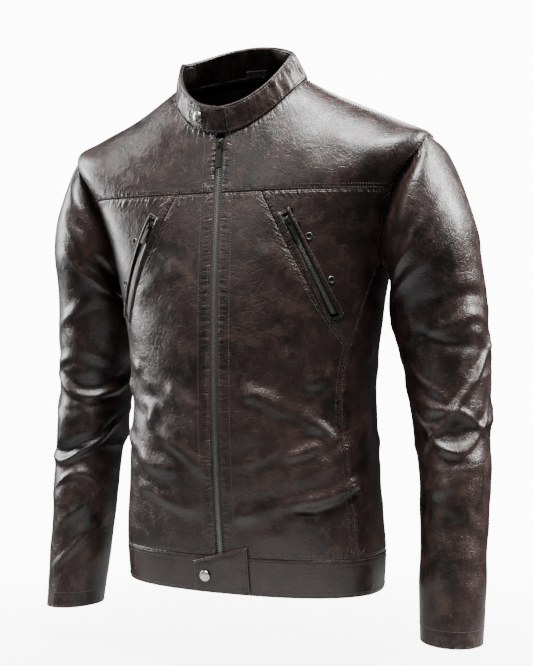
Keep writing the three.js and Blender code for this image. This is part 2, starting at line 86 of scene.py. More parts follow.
# ---------------- the form
RINGS = np.array([
    [0.0, 173, 0, 112, 0, 0, 0, 2.3],
    [0.08, 175, 0, 114, 50, 50, 50, 2.3],
    [0.2, 168, 0, 112, 150, 146, 150, 2.3],
    [0.32, 162, -2, 112, 240, 232, 242, 2.3],
    [0.45, 171, -6, 118, 335, 318, 345, 2.3],
    [0.58, 188, -12, 122, 430, 398, 445, 2.4],
    [0.7, 216, -18, 118, 508, 462, 530, 2.5],
    [0.8, 243, -24, 100, 564, 508, 592, 2.5],
    [0.88, 206, -30, 76, 582, 536, 626, 2.3],
    [0.95, 138, -37, 46, 612, 556, 650, 2.1],
    [1.0, 89, -41, 19, 641, 571, 661, 2.0],
])
ARM_LOW, ARM_HIGH, ARM_FRONT, ARM_BACK = 0.545, 0.8, 0.28, 0.4
ARM_MIDDLE = (ARM_LOW + ARM_HIGH) / 2
ARM_REACH = (ARM_HIGH - ARM_LOW) / 2
SLEEVE = np.array([
    [0.1, 224, 0, 474, 80, 78, 64],
    [0.22, 240, 2, 424, 66, 74, 42],
    [0.36, 242, 20, 360, 60, 67, 16],
    [0.58, 257, 29, 235, 48, 58, 3],
    [0.8, 264, 14, 100, 43, 50, -2],
    [1.0, 267, -9, -50, 38, 43, -3],
])
COLLAR_X, COLLAR_Y, COLLAR_DEPTH = 77.0, -54.0, 54.0
COLLAR_SIDE, COLLAR_FRONT, COLLAR_BACK = 671.0, 602.0, 696.0
PANEL_EDGE = 0.56


def hermite(a, b, slope_a, slope_b, t, h):
    return ((2 * t**3 - 3 * t**2 + 1) * a + (t**3 - 2 * t**2 + t) * h * slope_a
            + (3 * t**2 - 2 * t**3) * b + (t**3 - t**2) * h * slope_b)


def knots(xs, ys, x):
    """The smooth curve through (xs, ys), at every x."""
    xs = np.asarray(xs, float)
    ys = np.asarray(ys, float)
    x = np.asarray(x, float)
    m = np.gradient(ys, xs, axis=0)
    i = np.clip(np.searchsorted(xs, x, side="right") - 1, 0, len(xs) - 2)
    h = xs[i + 1] - xs[i]
    t = (x - xs[i]) / h
    if ys.ndim > 1:
        t = t[..., None]
        h = h[..., None]
    return hermite(ys[i], ys[i + 1], m[i], m[i + 1], t, h)


def lerp(a, b, k):
    return a + (b - a) * k


def front_y(z):
    return ARC_Y + ARC_R - np.sqrt(ARC_R**2 - (z - ARC_Z) ** 2)


def body(u, v):
    """A point of the body: u is the angle round it, -90 degrees at the front, v the ring, 0 at the hem."""
    u, v = np.broadcast_arrays(np.asarray(u, float), np.asarray(v, float))
    row = knots(RINGS[:, 0], RINGS[:, 1:], v)
    w, ys, yb, zs, zf, zb, n = np.moveaxis(row, -1, 0)
    c = np.cos(u)
    s = np.sin(u)
    across = np.abs(s) ** (2 / n)
    rise = np.abs(s) ** 1.6
    x = w * np.sign(c) * np.abs(c) ** (2 / n)
    y = lerp(ys, np.where(s < 0, front_y(zf), yb), across)
    z = lerp(zs, np.where(s < 0, zf, zb), rise)
    return np.stack([x, y, z], -1)


def arm_width(v):
    return np.sqrt(np.maximum(0, 1 - ((v - ARM_MIDDLE) / ARM_REACH) ** 2))


def armhole(t):
    wide = np.where(np.sin(t) < 0, ARM_FRONT, ARM_BACK)
    return body(wide * np.sin(t), ARM_MIDDLE + ARM_REACH * np.cos(t))


def sleeve(t, s):
    """A point of the left sleeve: s from the armhole to the cuff, t round it, 0 outside, -90 in front."""
    t, s = np.broadcast_arrays(np.asarray(t, float), np.asarray(s, float))
    rings = [armhole(t)]
    for _, x, y, z, out, deep, tilt in SLEEVE:
        a = math.radians(tilt)
        rings.append(np.stack([x + out * np.cos(t) * math.cos(a), y + deep * np.sin(t),
                               z + out * np.cos(t) * math.sin(a)], -1))
    rings = np.stack(rings)
    at = np.concatenate([[0.0], SLEEVE[:, 0]])
    m = np.gradient(rings, at, axis=0)
    i = np.clip(np.searchsorted(at, s, side="right") - 1, 0, len(at) - 2)
    pick = lambda a, k: np.take_along_axis(a, k[None, ..., None], 0)[0]
    h = (at[i + 1] - at[i])[..., None]
    q = ((s - at[i])[..., None]) / h
    return hermite(pick(rings, i), pick(rings, i + 1), pick(m, i), pick(m, i + 1), q, h)


def collar(u, k):
    s = np.sin(u)
    end = np.where(s < 0, COLLAR_FRONT, COLLAR_BACK)
    power = np.where(s < 0, 1.3, 1.6)
    top = np.stack([COLLAR_X * np.cos(u) + 0 * k, COLLAR_Y + COLLAR_DEPTH * s + 0 * k,
                    lerp(COLLAR_SIDE, end, np.abs(s) ** power) + 0 * k], -1)
    return lerp(body(u, 1.0 + 0 * k), top, np.asarray(k)[..., None])


def normals(surface, a, b):
    """Unit normals of surface(a, b)."""
    e = 0.003
    along = surface(a + e, b) - surface(a - e, b)
    up = surface(a, np.clip(b + e, 0, 1)) - surface(a, np.clip(b - e, 0, 1))
    n = np.cross(along, up)
    return n / np.maximum(np.linalg.norm(n, axis=-1, keepdims=True), 1e-9)


def ring_at_z(u, z):
    low = np.zeros(np.shape(u))
    high = np.ones(np.shape(u))
    for _ in range(26):
        mid = (low + high) / 2
        below = body(u, mid)[..., 2] < z
        low = np.where(below, mid, low)
        high = np.where(below, high, mid)
    return (low + high) / 2


def angle_at_x(v, x):
    row = knots(RINGS[:, 0], RINGS[:, [1, 7]], v)
    share = np.clip(np.abs(x) / row[..., 0], 0, 1) ** (row[..., 1] / 2)
    return -np.arccos(np.sign(x) * share)


def front_at(x, z):
    """Angle and ring of the front's point at x and height z."""
    x, z = np.broadcast_arrays(np.asarray(x, float), np.asarray(z, float))
    u = np.full(x.shape, -1.0)
    for _ in range(10):
        v = ring_at_z(u, z)
        u = angle_at_x(v, x)
    return u, v


def place(p):
    """Form millimetres to row-frame metres."""
    return (np.asarray(p, float) - (0, REST_Y, REST_Z)) / 1000


# ---------------- noise and relief
def noise(p, seed):
    """Smooth value noise from -1 to 1 at points p, in cells of one unit."""
    p = np.asarray(p, float)
    i = np.floor(p).astype(np.int64)
    f = p - i
    f = f * f * f * (f * (f * 6 - 15) + 10)
    total = 0
    for dx in (0, 1):
        for dy in (0, 1):
            for dz in (0, 1):
                q = (i[..., 0] + dx) * 374761393 + (i[..., 1] + dy) * 668265263
                q = q + (i[..., 2] + dz) * 2147483647
                q = (q + seed * 974711) & 0xFFFFFFFF
                q = ((q ^ (q >> 13)) * 1274126177) & 0xFFFFFFFF
                q = (q ^ (q >> 16)) & 0xFFFF
                w = (np.where(dx, f[..., 0], 1 - f[..., 0]) * np.where(dy, f[..., 1], 1 - f[..., 1])
                     * np.where(dz, f[..., 2], 1 - f[..., 2]))
                total = total + w * (q / 32767.5 - 1)
    return total


def ridges(p, scale, seed, stretch=(1, 1, 1)):
    """Creased noise: sharp valleys between soft pillows."""
    q = np.asarray(p) / scale * np.asarray(stretch)
    warp = np.stack([noise(q * 0.7 + 9, seed + k) for k in range(3)], -1)
    return 1 - np.abs(noise(q + 0.9 * warp, seed + 5)) * 2.2


def crest(d, width, valley):
    """A fold's height at d across it; its shallow valleys are that many widths wide."""
    return np.exp(-((d / width) ** 2)) - 0.4 * np.exp(-((d / (valley * width)) ** 2))


def fold(p, a, b, width, height):
    """A raised fold of leather from a to b, with a shallow valley at each side."""
    a = np.asarray(a, float)
    b = np.asarray(b, float)
    ab = b - a
    k = np.clip(((p - a) @ ab) / (ab @ ab), 0, 1)
    d = np.linalg.norm(p - (a + k[..., None] * ab), axis=-1)
    return height * crest(d, width, 2.1)


BODY_FOLDS = [  # from, to, width, height: across the waist, and from the armpits
    ((45, -118, 252), (137, -78, 203), 9, 4.6),
    ((140, -76, 196), (95, -105, 178), 8, 3.2),
    ((159, -50, 138), (102, -103, 118), 8, 4.6),
    ((102, -103, 118), (34, -116, 103), 8, 3.6),
    ((160, -45, 122), (100, -103, 104), 6, -3.2),
    ((168, -10, 215), (130, -80, 170), 10, 3.0),
    ((-94, -98, 210), (-10, -118, 150), 10, 4.0),
    ((-150, -60, 190), (-70, -110, 150), 9, 3.6),
    ((-60, -115, 250), (-20, -120, 215), 9, 2.6),
    ((-160, -40, 262), (-90, -100, 226), 10, 3.2),
    ((-120, -90, 128), (-30, -116, 104), 8, 2.8),
    ((165, -20, 300), (120, -90, 262), 9, 2.6),
    ((-165, -20, 330), (-120, -90, 280), 9, 2.8),
    ((150, -60, 330), (95, -105, 296), 10, 1.8),
    ((70, -108, 415), (108, -98, 380), 12, 1.6),
    ((-60, -112, 400), (-110, -98, 372), 12, 1.8),
    ((130, 70, 262), (-90, 110, 236), 11, 4.4),
    ((-140, 50, 214), (60, 112, 186), 11, 4.2),
    ((150, 30, 180), (20, 114, 142), 10, 3.4),
    ((-100, 90, 120), (40, 112, 104), 9, 2.8),
    ((-130, 80, 335), (20, 122, 300), 14, 3.0),
    ((150, 60, 385), (40, 118, 352), 14, 3.2),
    ((-170, 30, 420), (-100, 110, 380), 12, 3.0),
    ((-90, 88, 560), (60, 90, 568), 16, 2.4),
    ((196, 20, 470), (150, 90, 430), 12, 3.0),
    ((-196, 20, 480), (-150, 90, 440), 12, 3.0),
    ((150, -70, 545), (206, -38, 520), 12, 2.2),
    ((-150, -70, 545), (-206, -38, 520), 12, 2.2),
]
BODY_DOMES = [  # centre, radius, height
    ((128, -86, 152), 30, 4.0),
    ((60, -115, 205), 34, 2.6),
    ((-40, -118, 190), 34, 2.8),
    ((-110, -85, 175), 30, 2.6),
    ((110, -96, 330), 40, 1.6),
    ((60, 108, 210), 42, 3.0),
    ((-80, 100, 270), 46, 3.0),
]


def body_relief(p):
    """How far the worn leather stands off the smooth body form."""
    out = 1.7 * noise(p / 85, 3) + 0.8 * noise(p / 34, 7)
    bent = p + 5 * np.stack([noise(p / 32, 51 + k) for k in range(3)], -1)
    for a, b, width, height in BODY_FOLDS:
        out = out + fold(bent, a, b, width * 1.15, height * 1.6)
    for centre, radius, height in BODY_DOMES:
        out = out + height * np.exp(-(np.linalg.norm(bent - centre, axis=-1) / radius) ** 2)
    low = np.exp(-(((p[..., 2] - 190) / 110) ** 2))
    out = out + 1.2 * low * ridges(p, 62, 21, (0.7, 0.7, 1.3))
    calm = np.clip((p[..., 2] - BAND) / 30, 0, 1) * 0.88 + 0.12
    near_zip = 1 - 0.7 * np.exp(-((p[..., 0] / 20) ** 2)) * (p[..., 1] < 0)
    neck = np.clip((655 - p[..., 2]) / 50, 0.1, 1)
    return out * calm * near_zip * neck


SLEEVE_FOLDS = {  # angle and its spread, degrees; height there, rise, curve; width and how far it stands up
    "left": [
        (-50, 95, 252, 56, 0, 8, 7.0),
        (-45, 60, 343, 6, -26, 7, 4.5),
        (-42, 70, 368, 4, -10, 11, -4.5),
        (-66, 80, 312, -14, 10, 10, -4.0),
        (-68, 85, 180, 6, 40, 7, 6.0),
        (-62, 60, 206, 4, 20, 10, -4.5),
        (-60, 70, 228, -20, -20, 6, 3.6),
        (-110, 60, 268, -40, 0, 8, 4.0),
        (-95, 70, 140, 26, 0, 11, 3.4),
        (-104, 60, 420, 60, 0, 8, 4.4),
        (-120, 60, 380, 44, 0, 8, 3.6),
        (-40, 60, 96, -30, 0, 14, 2.4),
        (-90, 60, 40, 22, 0, 14, 2.0),
        (12, 50, 300, -26, 0, 10, 4.4),
        (20, 50, 225, 24, 0, 11, 4.0),
    ],
    "right": [
        (-118, 80, 240, 0, 14, 6, 6.0),
        (-115, 85, 254, 0, 12, 8, -4.0),
        (-95, 85, 156, -16, 14, 6, 6.0),
        (-95, 80, 168, -14, 12, 8, -4.0),
        (-106, 70, 134, 0, -34, 6, 4.0),
        (-106, 60, 78, -39, 0, 9, 2.6),
        (-104, 70, 26, -39, 0, 9, 3.6),
        (-111, 60, 458, 64, 0, 6, 5.5),
        (-118, 60, 438, 60, 0, 9, -4.0),
        (-126, 55, 396, 50, 0, 8, 4.0),
        (-86, 60, 350, -34, 0, 11, 3.6),
        (-112, 60, 300, 36, 0, 10, 3.8),
        (-50, 60, 282, -20, 0, 10, 3.4),
        (-10, 60, 232, 20, 0, 11, 4.0),
        (-20, 60, 150, -20, 0, 12, 3.6),
    ],
    "both": [
        (100, 80, 322, 26, 0, 12, 4.6),
        (84, 90, 286, -26, 0, 10, 5.0),
        (104, 90, 248, 30, 0, 10, 5.4),
        (80, 90, 208, -28, 0, 11, 4.6),
        (110, 80, 166, 24, 0, 12, 3.8),
        (70, 80, 110, -20, 0, 15, 2.6),
        (60, 70, 420, -30, 0, 14, 3.0),
        (176, 60, 330, 10, 0, 10, 3.0),
        (180, 60, 260, -10, 0, 10, 3.0),
    ],
}
SLEEVE_DOMES = {  # angle, height; reach round the sleeve in degrees and along it; how far it stands up
    "left": [(-66, 206, 48, 22, -2.0), (-60, 150, 60, 30, 2.4), (-20, 410, 70, 60, 2.0)],
    "right": [(-110, 198, 62, 30, 7.5), (-104, 96, 58, 42, 6.0), (-120, 330, 60, 44, 3.4)],
    "both": [(90, 265, 60, 26, 3.0), (95, 185, 60, 26, 3.0)],
}


def turned_from(t, middle):
    """The angle round to t from middle, in degrees, kept within half a turn either way."""
    return np.angle(np.exp(1j * (t - math.radians(middle))))


def sleeve_relief(p, t, s, label):
    """How far a sleeve's leather stands off its form: crumpled at the elbow, smooth at the shoulder."""
    seed = 1 if label == "left" else 5
    z = p[..., 2]
    out = 1.7 * noise(p / 70 + seed, 11) + 0.8 * noise(p / 30, 13 + seed)
    wobble = 5 * noise(p / 30, 31 + seed)
    for middle, spread, z0, slope, curve, width, height in SLEEVE_FOLDS[label] + SLEEVE_FOLDS["both"]:
        turned = turned_from(t, middle)
        d = z - z0 - slope * turned - curve * turned**2 - wobble
        fade = np.exp(-((turned / math.radians(spread * 0.66)) ** 2))
        out = out + height * fade * crest(d, width, 2.2)
    for middle, z0, around, along, height in SLEEVE_DOMES[label] + SLEEVE_DOMES["both"]:
        turned = turned_from(t, middle) / math.radians(around)
        q = turned**2 + ((z - z0 - wobble) / along) ** 2
        out = out + height * np.exp(-(q**1.6))
    elbow = np.exp(-(((z - 230) / 100) ** 2))
    out = out + 1.6 * elbow * ridges(p, 50, 41 + seed, (0.8, 0.8, 1.5))
    return out * np.clip(s / 0.08, 0.08, 1) * np.clip((1.03 - s) / 0.12, 0.25, 1)


# ---------------- mesh makers
def mesh_object(name, points, faces, material, smooth=True, seam=None, run=None):
    """A mesh from points in form millimetres; seam is each point's distance to a seam, run its place on it."""
    mesh = bpy.data.meshes.new(name)
    at = place(points)
    mesh.from_pydata([], [], [])
    faces = [np.asarray(f, np.int64) for f in faces if len(f)]
    mesh.vertices.add(len(at))
    mesh.vertices.foreach_set("co", at.astype(np.float32).ravel())
    sizes = np.concatenate([np.full(len(f), f.shape[1]) for f in faces])
    loops = np.concatenate([f.ravel() for f in faces])
    mesh.loops.add(len(loops))
    mesh.loops.foreach_set("vertex_index", loops.astype(np.int32))
    mesh.polygons.add(len(sizes))
    mesh.polygons.foreach_set("loop_start", np.concatenate([[0], np.cumsum(sizes)[:-1]]).astype(np.int32))
    mesh.polygons.foreach_set("use_smooth", np.full(len(sizes), smooth))
    for key, values in (("seam", seam), ("run", run)):
        data = np.full(len(at), 60.0) if values is None else np.asarray(values, float)
        mesh.attributes.new(key, "FLOAT", "POINT").data.foreach_set("value", data.astype(np.float32))
    rest = mesh.attributes.new("rest", "FLOAT_VECTOR", "POINT")
    rest.data.foreach_set("vector", (at * 1000).astype(np.float32).ravel())
    mesh.update(calc_edges=True)
    mesh.validate()
    mesh.materials.append(material)
    obj = bpy.data.objects.new(name, mesh)
    bpy.context.scene.collection.objects.link(obj)
    return obj


def grid_faces(rows, columns, wrap=False, base=0):
    j, i = np.meshgrid(np.arange(rows - 1), np.arange(columns if wrap else columns - 1), indexing="ij")
    nxt = (i + 1) % columns
    return np.stack([base + j * columns + i, base + j * columns + nxt,
                     base + (j + 1) * columns + nxt, base + (j + 1) * columns + i], -1).reshape(-1, 4)


def lengths(p, axis):
    """Running length along one axis of a grid of points."""
    step = np.linalg.norm(np.diff(p, axis=axis), axis=-1)
    start = np.zeros_like(np.take(step, [0], axis))
    return np.concatenate([start, np.cumsum(step, axis)], axis)


def shares(size):
    """Places from 0 to 1 along a side of that size: GRID apart, and closer at the two ends."""
    line = np.linspace(0, 1, max(3, int(size / GRID)) + 1)
    if size > 14:
        extra = np.array([0.7, 1.6, 4.4]) / size
        line = np.unique(np.concatenate([line, extra, 1 - extra]))
    return line


threads = {}  # body or piece name to the stitches that go with it: place, direction, normal


def offset_line(points, normal, distance, far):
    """The line that stays that distance from the first column of a grid, with its normals."""
    line = []
    out = []
    for j in range(len(points)):
        k = np.interp(far, distance[j], np.arange(points.shape[1]))
        i = min(int(k), points.shape[1] - 2)
        line.append(lerp(points[j, i], points[j, i + 1], k - i))
        out.append(normal[j, i])
    return np.array(line), np.array(out)


def sew(group, line, out, start=0.0, end=1e9):
    """Adds a row of stitches along a line, from start to end millimetres along it."""
    along = np.concatenate([[0], np.cumsum(np.linalg.norm(np.diff(line, axis=0), axis=1))])
    end = min(end, along[-1] - 1)
    where = np.arange(start + 1.2, end, STITCH)
    pick = lambda a, w: np.stack([np.interp(w, along, a[:, k]) for k in range(3)], -1)
    centre = pick(line, where)
    ahead = pick(line, where + 0.6) - pick(line, where - 0.6)
    ahead /= np.maximum(np.linalg.norm(ahead, axis=1, keepdims=True), 1e-9)
    normal = pick(out, where)
    threads.setdefault(group, []).append((centre, ahead, normal))


def thread_piece(name, rows):
    """One mesh of spindle-shaped stitches, half sunk in the leather."""
    centre, ahead, normal = (np.concatenate(k) for k in zip(*rows))
    side = np.cross(ahead, normal)
    side /= np.maximum(np.linalg.norm(side, axis=1, keepdims=True), 1e-9)
    rings = ((-1.25, 0.12, -0.25), (-0.8, 0.42, 0.1), (0.0, 0.5, 0.2), (0.8, 0.42, 0.1), (1.25, 0.12, -0.25))
    corners = 6
    turn_round = np.arange(corners) * 2 * np.pi / corners
    points = []
    for shift, radius, lift in rings:
        for a in turn_round:
            points.append(centre + ahead * shift + side * radius * math.cos(a)
                          + normal * (radius * 0.8 * math.sin(a) + lift))
    points = np.stack(points, 1)
    each = grid_faces(len(rings), corners, True)
    faces = (each[None] + np.arange(len(centre))[:, None, None] * points.shape[1]).reshape(-1, 4)
    return mesh_object(name, points.reshape(-1, 3), [faces], thread)


def sheet_solid(name, outer, normal, material, thickness=HIDE, wrap=False, edges="aAbB", round_edge=1.0,
                keep=None, body_name="jacket_body", flip=False, rows=(), sides_closed=True, thread_group=None,
                custom=None, square=""):
    """A panel with an outer skin, an inner skin and closed sides, from a grid of points and normals.
    edges names its sewn sides: a and A the first and last column, b and B the first and last row.
    rows lists its rows of stitches: a side, how far in from it, and maybe where the row starts and ends.
    square names the sides that aren't rounded, and custom gives the normals of a creased surface."""
    sewn = rows
    rows, columns = outer.shape[:2]
    along = lengths(outer, 1)
    up = lengths(outer, 0)
    distance = {"a": along, "A": along[:, -1:] - along, "b": up, "B": up[-1:] - up}
    runs = {"a": up, "A": up + 300, "b": along + 700, "B": along + 1100}
    seam = np.full((rows, columns), 60.0)
    run = np.zeros((rows, columns))
    for key in "aAbB":
        if wrap and key in "aA":
            continue
        drop = round_edge * (key not in square) * np.exp(-((distance[key] / 1.5) ** 2))
        outer = outer - normal * drop[..., None] * 0.7
        if key in edges:
            near = distance[key] < seam
            run = np.where(near, runs[key], run)
            seam = np.where(near, distance[key], seam)
    for side, far, *span in sewn:
        swap = side in "bB"
        points = np.swapaxes(outer, 0, 1) if swap else outer
        out = np.swapaxes(normal, 0, 1) if swap else normal
        gap = distance[side].T if swap else distance[side]
        if side in "AB":
            points, out, gap = points[:, ::-1], out[:, ::-1], gap[:, ::-1]
        sew(thread_group or body_name, *offset_line(points, out, gap, far), *span)
    inner = outer - normal * thickness
    count = rows * columns
    front = grid_faces(rows, columns, wrap)
    back = grid_faces(rows, columns, wrap, count)[:, ::-1]
    if keep is not None:
        alive = keep(outer).ravel()[front].all(1)
        front = front[alive]
        back = back[alive]
    first = np.arange(columns)
    last = first + (rows - 1) * columns
    wall = lambda p, q: np.stack([p, p + count, q + count, q], -1)
    other_way = [0, 3, 2, 1]
    if wrap:
        nxt = np.roll(first, -1)
        sides = [wall(first, nxt), wall(last, last[nxt])[:, other_way]]
    else:
        left = np.arange(rows) * columns
        right = left + columns - 1
        sides = [wall(first[:-1], first[1:]), wall(last[:-1], last[1:])[:, other_way],
                 wall(left[:-1], left[1:])[:, other_way], wall(right[:-1], right[1:])]
    faces = np.concatenate([front, back] + (sides if sides_closed else sides[1:]))
    if flip:
        faces = faces[:, ::-1]
    points = np.concatenate([outer.reshape(-1, 3), inner.reshape(-1, 3)])
    both = lambda a: np.concatenate([a.ravel(), a.ravel()])
    obj = mesh_object(name, points, [faces], material, seam=both(seam), run=both(run))
    if custom is not None:
        flat = custom.reshape(-1, 3)
        obj.data.normals_split_custom_set_from_vertices(np.concatenate([flat, -flat]).tolist())
    if body_name:
        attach(obj, body_name)
    return obj


def patch(left, right, bottom, top, size_a, size_b, mirror=False):
    """Angles and rings of a panel between four edges; left and right take rings, bottom and top angles."""
    a = shares(size_a)[None, :]
    b = shares(size_b)[:, None]
    u = np.full((b.shape[0], a.shape[1]), -0.8)
    v = lerp(bottom(u), top(u), b)
    for _ in range(12):
        u = lerp(left(v), right(v), a)
        v = lerp(bottom(u), top(u), b)
    return (np.pi - u if mirror else u), v


def lathe(name, centre, out, profile, material, body_name, segments=28):
    """A turned piece standing on centre and facing out, from (radius, height) pairs."""
    out = np.asarray(out, float) / np.linalg.norm(out)
    side = np.cross(out, (0, 0, 1.0))
    side = side / np.linalg.norm(side)
    up = np.cross(side, out)
    t = np.arange(segments) * 2 * np.pi / segments
    ring = np.cos(t)[:, None] * side + np.sin(t)[:, None] * up
    points = np.stack([centre + r * ring + h * out for r, h in profile])
    obj = mesh_object(name, points.reshape(-1, 3), [grid_faces(len(profile), segments, True)], material)
    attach(obj, body_name)
    return obj


def soften(obj, width):
    """Bevels an object's edges by that many millimetres."""
    bevel = obj.modifiers.new("bevel", "BEVEL")
    bevel.width = width / 1000
    bevel.segments = 2


def boxes(name, frames, size, material, body_name, bevel=0.18):
    """Many small bevelled blocks in one mesh: frames is (centre, x, y, z axes) for each, size in mm."""
    corner = np.array([(x, y, z) for z in (-1, 1) for y in (-1, 1) for x in (-1, 1)], float) / 2
    quads = np.array([(0, 2, 3, 1), (4, 5, 7, 6), (0, 1, 5, 4), (2, 6, 7, 3), (0, 4, 6, 2), (1, 3, 7, 5)])
    points = []
    faces = []
    for k, (centre, x, y, z) in enumerate(frames):
        basis = np.stack([x * size[0], y * size[1], z * size[2]])
        points.append(centre + corner @ basis)
        faces.append(quads + 8 * k)
    obj = mesh_object(name, np.concatenate(points), [np.concatenate(faces)], material, smooth=False)
    soften(obj, bevel)
    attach(obj, body_name)
    return obj


# ---------------- materials
class Nodes:
    """Builds one material's node tree."""

    def __init__(self, name):
        self.material = bpy.data.materials.new(name)
        self.material.use_nodes = True
        self.tree = self.material.node_tree
        self.shader = self.tree.nodes["Principled BSDF"]

    def add(self, kind, inputs=None, **settings):
        node = self.tree.nodes.new(kind)
        for key, value in settings.items():
            setattr(node, key, value)
        for key, value in (inputs or {}).items():
            self.put(node.inputs[key], value)
        return node

    def put(self, socket, value):
        if hasattr(value, "is_output"):
            self.tree.links.new(value, socket)
        else:
            socket.default_value = value

    def math(self, operation, a, b=0.0, c=0.0, clamp=False):
        node = self.add("ShaderNodeMath", {0: a, 1: b, 2: c}, operation=operation, use_clamp=clamp)
        return node.outputs[0]

    def times(self, a, b):
        return self.math("MULTIPLY", a, b)

    def row(self, seam, place, inner, outer, at, away):
        """A line along a seam, that far in from it."""
        gap = self.math("ABSOLUTE", self.math("SUBTRACT", seam, place))
        return self.step(gap, inner, outer, at, away)

    def attribute(self, name, vector=False):
        node = self.add("ShaderNodeAttribute", attribute_name=name)
        return node.outputs["Vector" if vector else "Fac"]

    def scaled(self, vector, scale):
        node = self.add("ShaderNodeMapping", {"Vector": vector, "Scale": scale})
        return node.outputs[0]

    def noise(self, vector, scale, detail=3.0, rough=0.55, warp=0.0):
        node = self.add("ShaderNodeTexNoise", {"Vector": vector, "Scale": scale, "Detail": detail,
                                               "Roughness": rough, "Distortion": warp})
        return node.outputs["Fac"]

    def cells(self, vector, scale, feature="DISTANCE_TO_EDGE"):
        node = self.add("ShaderNodeTexVoronoi", {"Vector": vector, "Scale": scale}, feature=feature)
        return node.outputs["Distance"]

    def step(self, value, low, high, to_low=0.0, to_high=1.0):
        inputs = {"Value": value, "From Min": low, "From Max": high, "To Min": to_low, "To Max": to_high}
        return self.add("ShaderNodeMapRange", inputs, interpolation_type="SMOOTHSTEP").outputs[0]

    def mix(self, k, a, b):
        node = self.add("ShaderNodeMix", data_type="RGBA")
        self.put(node.inputs[0], k)
        self.put(node.inputs[6], a)
        self.put(node.inputs[7], b)
        return node.outputs[2]

    def wave(self, vector, scale, direction, distortion):
        inputs = {"Vector": vector, "Scale": scale, "Distortion": distortion}
        return self.add("ShaderNodeTexWave", inputs, bands_direction=direction).outputs["Fac"]

    def bump(self, height, strength, distance, normal=None):
        inputs = {"Height": height, "Strength": strength, "Distance": distance}
        node = self.add("ShaderNodeBump", inputs)
        if normal is not None:
            self.put(node.inputs["Normal"], normal)
        return node.outputs[0]

    def set(self, **values):
        for key, value in values.items():
            self.put(self.shader.inputs[key.replace("_", " ")], value)
        return self.material


def leather(name, dark, mid, red, pucker=1.0, wear=1.0):
    """Waxed brown hide: mottled colour, crackled creases, fine grain, painted shade along its stitch rows, and
    puckers beside its seams.
    """
    n = Nodes(name)
    rest = n.attribute("rest", True)
    seam = n.attribute("seam")
    run = n.attribute("run")
    broad = n.noise(rest, 0.011, 4.0, 0.6, 0.6)
    patchy = n.noise(rest, 0.045, 5.0, 0.65, 0.4)
    fine = n.noise(rest, 0.35, 4.0, 0.6)
    warp = n.add("ShaderNodeTexNoise", {"Vector": rest, "Scale": 0.06, "Detail": 2.0})
    push = {0: warp.outputs["Color"], 1: (14.0, 14.0, 14.0)}
    pushed = n.add("ShaderNodeVectorMath", push, operation="MULTIPLY")
    bent = n.add("ShaderNodeVectorMath", {0: rest, 1: pushed.outputs[0]}, operation="ADD").outputs[0]
    crease_wide = n.cells(bent, 0.07)
    crease_fine = n.cells(bent, 0.21)
    grain = n.cells(rest, 1.1, "F1")
    color = n.mix(n.step(broad, 0.36, 0.62), dark, mid)
    color = n.mix(n.times(n.step(patchy, 0.46, 0.7), 0.75), color, red)
    cracks = n.times(n.step(crease_fine, 0.0, 0.07, 1.0, 0.0), n.step(patchy, 0.4, 0.6, 0.1, 0.55))
    color = n.mix(cracks, color, dark)
    # painted shade: near-black lines along the two rows of stitches, where the thread sinks into the hide
    near_row_shade = n.row(seam, 2.3, 0.3, 0.9, 0.6, 0.0)
    far_row_shade = n.row(seam, 7.6, 0.3, 0.9, 0.5, 0.0)
    color = n.mix(n.math("MAXIMUM", near_row_shade, far_row_shade), color, (0.003, 0.002, 0.002, 1))
    rubbed = n.times(n.step(seam, 0.4, 1.8, 1.0, 0.0), n.step(fine, 0.35, 0.6, 0.15, 0.75 * wear))
    color = n.mix(rubbed, color, (red[0] * 1.25, red[1] * 1.25, red[2] * 1.25, 1.0))
    place_on_seam = {0: n.times(run, 0.2), 1: n.times(seam, 0.05)}
    along = n.add("ShaderNodeCombineXYZ", place_on_seam).outputs[0]
    gathers = n.noise(along, 1.0, 2.0, 0.5, 0.3)
    close = n.step(seam, 1.0, 15.0, 1.0, 0.0)
    gathers = n.times(n.math("SUBTRACT", gathers, 0.5), close)
    groove = n.row(seam, 2.6, 0.0, 0.9, 1.0, 0.0)
    relief = n.times(gathers, 3.8 * pucker)
    relief = n.math("SUBTRACT", relief, n.times(groove, 0.35))
    wide = n.times(n.step(crease_wide, 0.0, 0.09), n.step(broad, 0.4, 0.6, 0.05, 0.2))
    thin = n.times(n.step(crease_fine, 0.0, 0.12), n.step(patchy, 0.35, 0.62, 0.05, 0.14))
    relief = n.math("ADD", relief, n.math("ADD", wide, thin))
    relief = n.math("ADD", relief, n.times(n.noise(rest, 0.13, 3.0, 0.6), 0.6))
    first = n.bump(relief, 0.8, 0.001)
    grained = n.bump(grain, 0.16, 0.0004, first)
    rough = n.step(patchy, 0.3, 0.7, 0.29, 0.42)
    rough = n.math("ADD", rough, n.times(n.step(fine, 0.4, 0.7), 0.07))
    n.set(Base_Color=color, Roughness=rough, Normal=grained, Coat_Weight=0.18, Coat_Roughness=0.28,
          Specular_IOR_Level=0.5)
    return n.material


def woven(name, color, light, pitch, sheen=0.3, carried=False):
    """Dark cloth: a fine crossed weave, slightly mottled. A carried-over node has no rest attribute."""
    n = Nodes(name)
    if carried:
        rest = n.scaled(n.add("ShaderNodeTexCoord").outputs["Object"], (1000, 1000, 1000))
    else:
        rest = n.attribute("rest", True)
    height = n.math("MAXIMUM", n.wave(rest, pitch, "Z", 0.6), n.wave(rest, pitch, "X", 0.6))
    mottled = n.noise(rest, 0.03, 4.0)
    tone = n.mix(n.times(height, n.step(mottled, 0.3, 0.7, 0.35, 0.8)), color, light)
    n.set(Base_Color=tone, Roughness=0.78, Normal=n.bump(height, 0.35, 0.0004), Sheen_Weight=sheen,
          Sheen_Roughness=0.5)
    return n.material


